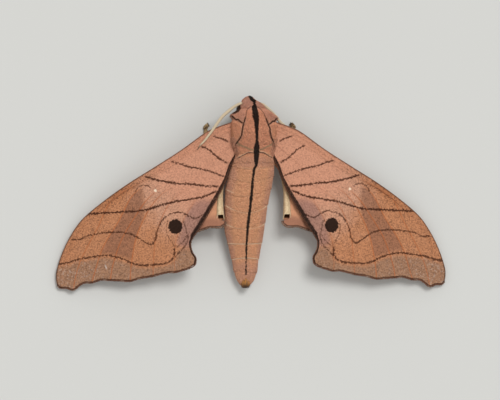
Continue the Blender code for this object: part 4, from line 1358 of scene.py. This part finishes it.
    def build(self) -> None:
        """Builds the skin and its coat."""
        surface = self.skin_surface()
        skin = grid_piece("body_skin", surface, self.marks(surface))
        skin.data.materials.append(self.finish.coat("body_skin_scales", False))
        place_piece(skin, ["head", "thorax", "abdomen"])
        coat = self.finish.coat("body_fur", True)
        for stretch in self.COVERS:
            self.cover(stretch, surface, coat)
        self.root_hair(surface, coat)

    def root_hair(self, surface: np.ndarray, coat: bpy.types.Material) -> None:
        """Lays longer hair from the thorax's sides over the roots of the wings."""
        draw = np.random.default_rng(self.hair_seed)
        x, y, z = (surface[:-1, :-1, axis] for axis in range(3))
        half_width, middle, half_height, _ = self.profile(y)
        up = (z - middle) / half_height
        shoulder = (y > 9.2) & (y < 13.6) & (up > -0.05) & (up < 0.45) & (np.abs(x) > 0.6 * half_width)
        total = self.hair_count
        places, ahead, _, shares = scatter(surface, total, draw, shoulder.astype(float))
        outward = np.zeros_like(places)
        outward[:, 0] = np.sign(places[:, 0])
        lie = ahead + outward * draw.uniform(0.1, 0.5, (total, 1)) + draw.normal(0, 0.1, places.shape)
        lie[:, 2] = -0.1
        lie = unit(lie)
        lengths, widths, lifts, tint = self.HAIR.drawn(draw, total)
        Tufts("wing_root_hair", places, lie, laid_flat(UPWARD, lie), lengths, widths, lifts, shares,
              {"tint": tint}, reader=self.hair_marks).dress(coat)

    def cover(self, stretch: Cover, surface: np.ndarray, coat: bpy.types.Material) -> None:
        """Lays tufts over a stretch of the skin, pointing to the tail.

        Args:
            stretch: where the tufts lie, how many there are and their sizes.
            surface: the skin.
            coat: the finish.
        """
        draw = np.random.default_rng(stretch.seed)
        y = surface[:-1, :-1, 1]
        rear, front = stretch.reach
        within = ((y > rear) & (y < front)).astype(float)
        places, ahead, normals, shares = scatter(surface, stretch.total, draw, within)
        flare = np.zeros_like(places)
        flare[:, 0] = np.sign(places[:, 0]) * 0.12 * ease(np.abs(places[:, 0]), 0.3, 3.0)
        lie = laid_flat(ahead + flare + draw.normal(0, 0.07, places.shape), normals)
        lengths, widths, lifts, tint = stretch.sizes.drawn(draw, stretch.total)
        Tufts(stretch.name, places, lie, normals, lengths, widths, lifts, shares, {"tint": tint},
              reader=self.marks).dress(coat)


@dataclass
class Head:
    """Eyes, palps and feelers."""

    plane: WingPlane
    body: BodyFinish
    limbs: LimbFinish
    eye_radius: float = 1.3
    eye_place: tuple = (2.15, 19.6, 4.95)
    turn: float = -0.55
    feeler_gap: float = 0.3
    feeler_base_height: float = 7.3
    feeler_dip: float = 1.6
    vein_half: float = 0.475
    feeler_joints: int = 60
    palp_tufts: int = 900
    palp_seed: int = 50

    PALP_FUR = TuftSizes((0.28, 0.5), (0.08, 0.13), (0.03, 0.11))
    PALP = ((1.0, 20.4, 3.7), (1.05, 21.2, 3.6), (0.6, 21.9, 4.1), (0.1, 22.5, 4.9))
    PALP_RADII = (0.55, 0.66, 0.5, 0.14)
    LEFT_FEELER = ((2.0, 20.5), (3.0, 20.9), (4.6, 20.1), (5.95, 19.1), (7.2, 18.1), (8.2, 16.95),
                   (9.0, 15.8), (9.95, 14.5), (10.8, 13.35), (11.75, 12.15), (12.75, 11.1), (13.4, 10.1))
    RIGHT_FEELER = ((1.5, 20.8, 6.6), (2.5, 20.6, 6.2), (3.3, 20.0, 6.0), (4.1, 19.3, 5.8),
                    (5.0, 18.45, 5.5), (5.9, 17.45, 5.3), (6.75, 16.35, 5.2), (8.3, 15.0, 5.2),
                    (10.4, 13.2, 5.1), (12.4, 11.4, 5.0))
    FEELER_RADII = (0.4, 0.3, 0.34, 0.37, 0.38, 0.36, 0.34, 0.3, 0.26, 0.2, 0.1)

    def build(self) -> None:
        """Builds both sides."""
        coat = self.body.coat("palp_fur", True)
        for side in Side:
            self.eye(side)
            self.palp(side, coat)
            self.feeler(side)

    def eye(self, side: Side) -> None:
        """Builds a smooth ball in its socket."""
        maker = bmesh.new()
        bmesh.ops.create_uvsphere(maker, u_segments=48, v_segments=32, radius=self.eye_radius * MM)
        across, y, z = self.eye_place
        place = Vector((across * side.value + self.turn / 2, y, z)) * MM
        bmesh.ops.translate(maker, verts=maker.verts, vec=place)
        mesh = bpy.data.meshes.new(f"eye_{side.word}_ball")
        maker.to_mesh(mesh)
        maker.free()
        mesh.shade_smooth()
        mesh.materials.append(self.limbs.eye())
        place_piece(shown(mesh.name, mesh), [f"eye_{side.word}"])

    def palp(self, side: Side, coat: bpy.types.Material) -> None:
        """Builds a palp as a furred finger under the face."""
        route = [(x * side.value + self.turn, y, z) for x, y, z in self.PALP]
        surface = tube_surface(route, self.PALP_RADII, 24, 20)
        shape = surface.shape[:2]
        marks = {**self.palp_marks(surface), "tint": np.full(shape, 0.4), "tip": np.zeros(shape)}
        piece = grid_piece(f"palp_{side.word}_core", surface, marks)
        piece.data.materials.append(coat)
        place_piece(piece, [f"palp_{side.word}"])
        draw = np.random.default_rng(self.palp_seed + side.value)
        places, ahead, normals, shares = scatter(surface, self.palp_tufts, draw)
        centre = smooth_path(route, 60)
        nearest = centre[np.argmin(np.linalg.norm(places[:, None] - centre[None], axis=2), axis=1)]
        normals = turned_out(normals, places - nearest)
        lie = laid_flat(ahead + draw.normal(0, 0.15, places.shape), normals)
        lengths, widths, lifts, tint = self.PALP_FUR.drawn(draw, self.palp_tufts)
        Tufts(f"palp_{side.word}_fur", places, lie, normals, lengths, widths, lifts, shares,
              {**self.palp_marks(places), "tint": tint}).dress(coat)

    def palp_marks(self, places: np.ndarray) -> dict[str, np.ndarray]:
        """Marks of a palp: dark along its inner upper side, lilac brown outside."""
        inner = np.abs(places[..., 0] - self.turn - 0.3) - 0.6
        dark = np.where(places[..., 2] > 3.9, inner, FAR)
        return Body.plain_marks(places.shape[:-1], dark, (0.4, 0.8, 0.0))

    def feeler_route(self, side: Side) -> list:
        """Middle line of a feeler: over the wing on the left, under its front edge on the right."""
        if side is Side.RIGHT:
            return list(self.RIGHT_FEELER)
        route = []
        for index, (x, y) in enumerate(self.LEFT_FEELER):
            over_wing = (float(self.plane.height(x, y)) + self.vein_half + self.feeler_gap
                         + max(self.FEELER_RADII))
            share = float(ease(index, 2, 5))
            base = self.feeler_base_height - self.feeler_dip * (index == 0)
            route.append((-x, y, base * (1 - share) + over_wing * share))
        return route

    def feeler(self, side: Side) -> None:
        """Builds a feeler of many short joints."""
        surface = tube_surface(self.feeler_route(side), self.FEELER_RADII, 240, 16)
        centre = surface.mean(axis=0)
        along = np.linspace(0, 1, surface.shape[1])
        beads = 1 + 0.07 * np.cos(along * FULL_TURN * self.feeler_joints)
        surface = centre + (surface - centre) * beads[:, None]
        marks = tube_marks(surface)
        # Painted shade: the turn mark is replaced by how far each place faces down and towards the body,
        # which the finish paints brown.
        offset = unit(surface - centre, 1e-6)
        sideways = -0.6 * side.value * offset[..., 0] - 0.8 * offset[..., 1]
        marks["turn"] = 0.5 - 0.42 * offset[..., 2] + 0.3 * sideways
        piece = grid_piece(f"antenna_{side.word}_shaft", surface, marks)
        piece.data.materials.append(self.limbs.feeler())
        place_piece(piece, [f"antenna_{side.word}"])


@dataclass
class Leg:
    """A leg of thigh, shin and five-jointed foot, with scales, spurs and two claws."""

    pair: str
    side: Side
    limbs: LimbFinish
    claw_length: float = 0.4
    claw_spread: float = 0.3
    foot_beads: int = 14
    scale_count: int = 1500
    seed: int = 70

    SCALES = TuftSizes((0.25, 0.4), (0.08, 0.14), (0.02, 0.07))
    ROUTES = {
        "fore": ((1.9, 16.6, 4.3), (4.6, 15.4, 2.6), (7.5, 13.2, 4.1), (9.5, 12.7, 1.3), (10.2, 13.7, 0.3),
                 (10.5, 14.9, 0.4), (10.35, 15.7, 0.6), (9.95, 15.95, 0.75)),
        "mid": ((2.3, 13.2, 4.2), (5.4, 12.0, 2.3), (8.8, 10.2, 4.0), (11.5, 7.4, 1.2), (12.6, 6.2, 0.3),
                (13.6, 5.0, 0.3), (14.6, 3.7, 0.3)),
        "hind": ((2.3, 10.4, 4.2), (4.6, 8.4, 2.1), (7.6, 5.0, 3.4), (9.3, -1.0, 1.1), (9.6, -2.6, 0.3),
                 (10.1, -4.8, 0.3), (10.6, -7.1, 0.3)),
    }
    RADII = (0.8, 0.74, 0.56, 0.44, 0.42, 0.5, 0.44)

    def build(self) -> None:
        """Builds the limb, its scales and its claws."""
        name = f"leg_{self.pair}_{self.side.word}"
        route = [(x * self.side.value, y, z) for x, y, z in self.ROUTES[self.pair]]
        surface = tube_surface(route, self.RADII, 110, 14)
        along = np.linspace(0, 1, surface.shape[1])
        centre = surface.mean(axis=0)
        foot = ease(along, 0.6, 0.68)
        rings = foot * 0.14 * np.cos(along * FULL_TURN * self.foot_beads)
        beads = 1 + rings - 0.16 * np.exp(-((along - 0.36) / 0.02) ** 2)
        surface = centre + (surface - centre) * beads[:, None]
        surface[..., 2] = np.maximum(surface[..., 2], 0.0)
        piece = grid_piece(f"{name}_limb", surface, tube_marks(surface))
        piece.data.materials.append(self.limbs.leg())
        place_piece(piece, [name])
        self.scales(name, surface)
        self.horn(name, route)

    def scales(self, name: str, surface: np.ndarray) -> None:
        """Lays flat scales along the limb, longer on the thigh and shin."""
        draw = np.random.default_rng(self.seed + self.side.value * 3 + len(self.pair))
        places, ahead, normals, shares = scatter(surface, self.scale_count, draw)
        row = (shares[:, 1] * (surface.shape[1] - 1)).astype(int)
        normals = turned_out(normals, places - surface.mean(axis=0)[row])
        keep = (places[:, 2] > 0.2) & (np.linalg.norm(normals, axis=1) > 0.5)
        places, ahead, normals, shares = (part[keep] for part in (places, ahead, normals, shares))
        lie = laid_flat(ahead + draw.normal(0, 0.15, places.shape), normals)
        lengths, widths, lifts, tint = self.SCALES.drawn(draw, len(places))
        upper = 1 - ease(shares[:, 1], 0.5, 0.75)
        Tufts(f"{name}_scales", places, lie, normals, lengths + 0.4 * upper, widths, lifts + 0.08 * upper,
              shares, {"along": shares[:, 1], "tint": tint}, sink=0.05).dress(self.limbs.leg())

    def horn(self, name: str, route: list) -> None:
        """Builds two hooked claws, and on the mid and hind legs a pair of spurs on the shin."""
        toe, heel = Vector(route[-1]), Vector(route[-2])
        ahead = (toe - heel).normalized()
        across = ahead.cross(Vector((0, 0, 1)))
        knee, ankle = Vector(route[2]), Vector(route[3])
        shin = (ankle - knee).normalized()
        horns = []
        for turn in (-1, 1):
            tip = toe + ahead * self.claw_length + across * turn * self.claw_spread
            tip.z = 0.06
            root = toe + across * turn * 0.08
            horns.append(((root, (root + tip) / 2 + Vector((0, 0, 0.16)), tip), (0.14, 0.11, 0.03)))
            if self.pair != "fore":
                start = ankle - shin * 0.3
                end = start + shin * 1.1 + across * turn * 0.5
                end.z = max(end.z, 0.3)
                horns.append(((start, (start + end) / 2, end), (0.13, 0.1, 0.03)))
        for number, (points, radii) in enumerate(horns):
            surface = tube_surface([tuple(point) for point in points], radii, 10, 10)
            surface[..., 2] = np.maximum(surface[..., 2], 0.0)
            piece = grid_piece(f"{name}_horn_{number}", surface, {})
            piece.data.materials.append(self.limbs.claw())
            place_piece(piece)


@dataclass
class TailBrush:
    """The short brush of long scales at the end of the abdomen."""

    limbs: LimbFinish
    count: int = 620
    root: tuple = (-1.65, -20.0, 3.0)
    spread: tuple = (1.12, 1.2)
    end: float = -22.75
    roundness: float = 0.27
    seed: int = 90

    def build(self) -> None:
        """Sets the brush's scales in a rounded bundle with a dark end."""
        draw = np.random.default_rng(self.seed)
        shares = draw.uniform(-1, 1, (self.count, 2))
        shares *= 1 - self.roundness * shares[:, ::-1] ** 2
        across, up = (shares * self.spread).T
        offset = np.column_stack([across, np.zeros(self.count), up])
        lie = np.column_stack([-across * 0.08, -np.ones(self.count), -up * 0.2])
        lie = unit(lie + draw.normal(0, 0.04, lie.shape))
        normals = laid_flat(offset + np.array([0.0, 0.0, 0.02]), lie)
        lengths = (self.root[1] - self.end) * draw.uniform(0.82, 1.0, self.count)
        widths = draw.uniform(0.16, 0.28, self.count)
        brush = Tufts("tail_brush", np.array(self.root) + offset, lie, normals, lengths, widths,
                      np.zeros(self.count), shares * 0.5 + 0.5, {"tint": draw.random(self.count)}, sink=0.0)
        piece = brush.dress(self.limbs.brush())
        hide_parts("tail_tuft")


@dataclass
class Studio:
    """Floor, light and camera."""

    view_width: float = 118.0
    distance: float = 3000.0
    tilt: float = math.radians(8.0)
    roll: float = math.radians(0.5)
    aim: tuple = (-0.13, -1.84, 1.2)
    floor_size: float = 900.0
    sensor: float = 36.0
    sun_energy: float = 1.5
    sun_angle: float = math.radians(22)
    sun_from: tuple = (0.16, 0.42, 1.0)
    sky_strength: float = 0.62

    def build(self) -> None:
        """Sets the stage."""
        self.floor()
        self.light()
        self.camera()

    def floor(self) -> None:
        """Lays a plain pale floor."""
        maker = bmesh.new()
        bmesh.ops.create_grid(maker, x_segments=1, y_segments=1, size=self.floor_size / 2 * MM)
        mesh = bpy.data.meshes.new("floor")
        maker.to_mesh(mesh)
        maker.free()
        bench = Bench("floor_paper")
        mesh.materials.append(bench.finish(paint_code(209, 209, 205), 0.9))
        shown("floor", mesh)

    def light(self) -> None:
        """Hangs one broad soft light up to the right, over an even sky."""
        sun = bpy.data.lights.new("soft_key", "SUN")
        sun.energy = self.sun_energy
        sun.angle = self.sun_angle
        lamp = bpy.data.objects.new("soft_key", sun)
        bpy.context.scene.collection.objects.link(lamp)
        lamp.rotation_euler = Vector(self.sun_from).to_track_quat("Z", "Y").to_euler()
        world = bpy.data.worlds.new("studio")
        bpy.context.scene.world = world
        world.use_nodes = True
        sky = world.node_tree.nodes["Background"]
        sky.inputs["Color"].default_value = (1.0, 1.0, 1.0, 1.0)
        sky.inputs["Strength"].default_value = self.sky_strength
        bpy.context.scene.view_settings.view_transform = "Standard"

    def camera(self) -> None:
        """Looks down at the moth from a little to its left."""
        lens = bpy.data.cameras.new("camera")
        lens.sensor_width = self.sensor
        lens.lens = self.sensor * self.distance / self.view_width
        lens.clip_end = 2 * self.distance * MM
        view = bpy.data.objects.new("camera", lens)
        bpy.context.scene.collection.objects.link(view)
        away = Vector((-math.sin(self.tilt), 0.0, math.cos(self.tilt)))
        view.location = (Vector(self.aim) + away * self.distance) * MM
        turn = Matrix.Rotation(-self.tilt, 3, "Y") @ Matrix.Rotation(-self.roll, 3, "Z")
        view.rotation_euler = turn.to_euler()
        bpy.context.scene.camera = view


def main() -> None:
    """Builds the moth from the wings inwards, then the studio."""
    logging.basicConfig(level=logging.INFO, format="%(name)s %(message)s")
    plane = WingPlane()
    forewing_finish, hindwing_finish = ForewingFinish(), HindwingFinish()
    body_finish, limb_finish = BodyFinish(), LimbFinish()
    for side in Side:
        Forewing(side, plane, forewing_finish).build()
        Hindwing(side, plane, hindwing_finish, forewing_finish).build()
        for pair in Leg.ROUTES:
            Leg(pair, side, limb_finish).build()
    Body(body_finish).build()
    Head(plane, body_finish, limb_finish).build()
    TailBrush(limb_finish).build()
    Studio().build()


if __name__ == "__main__":
    main()
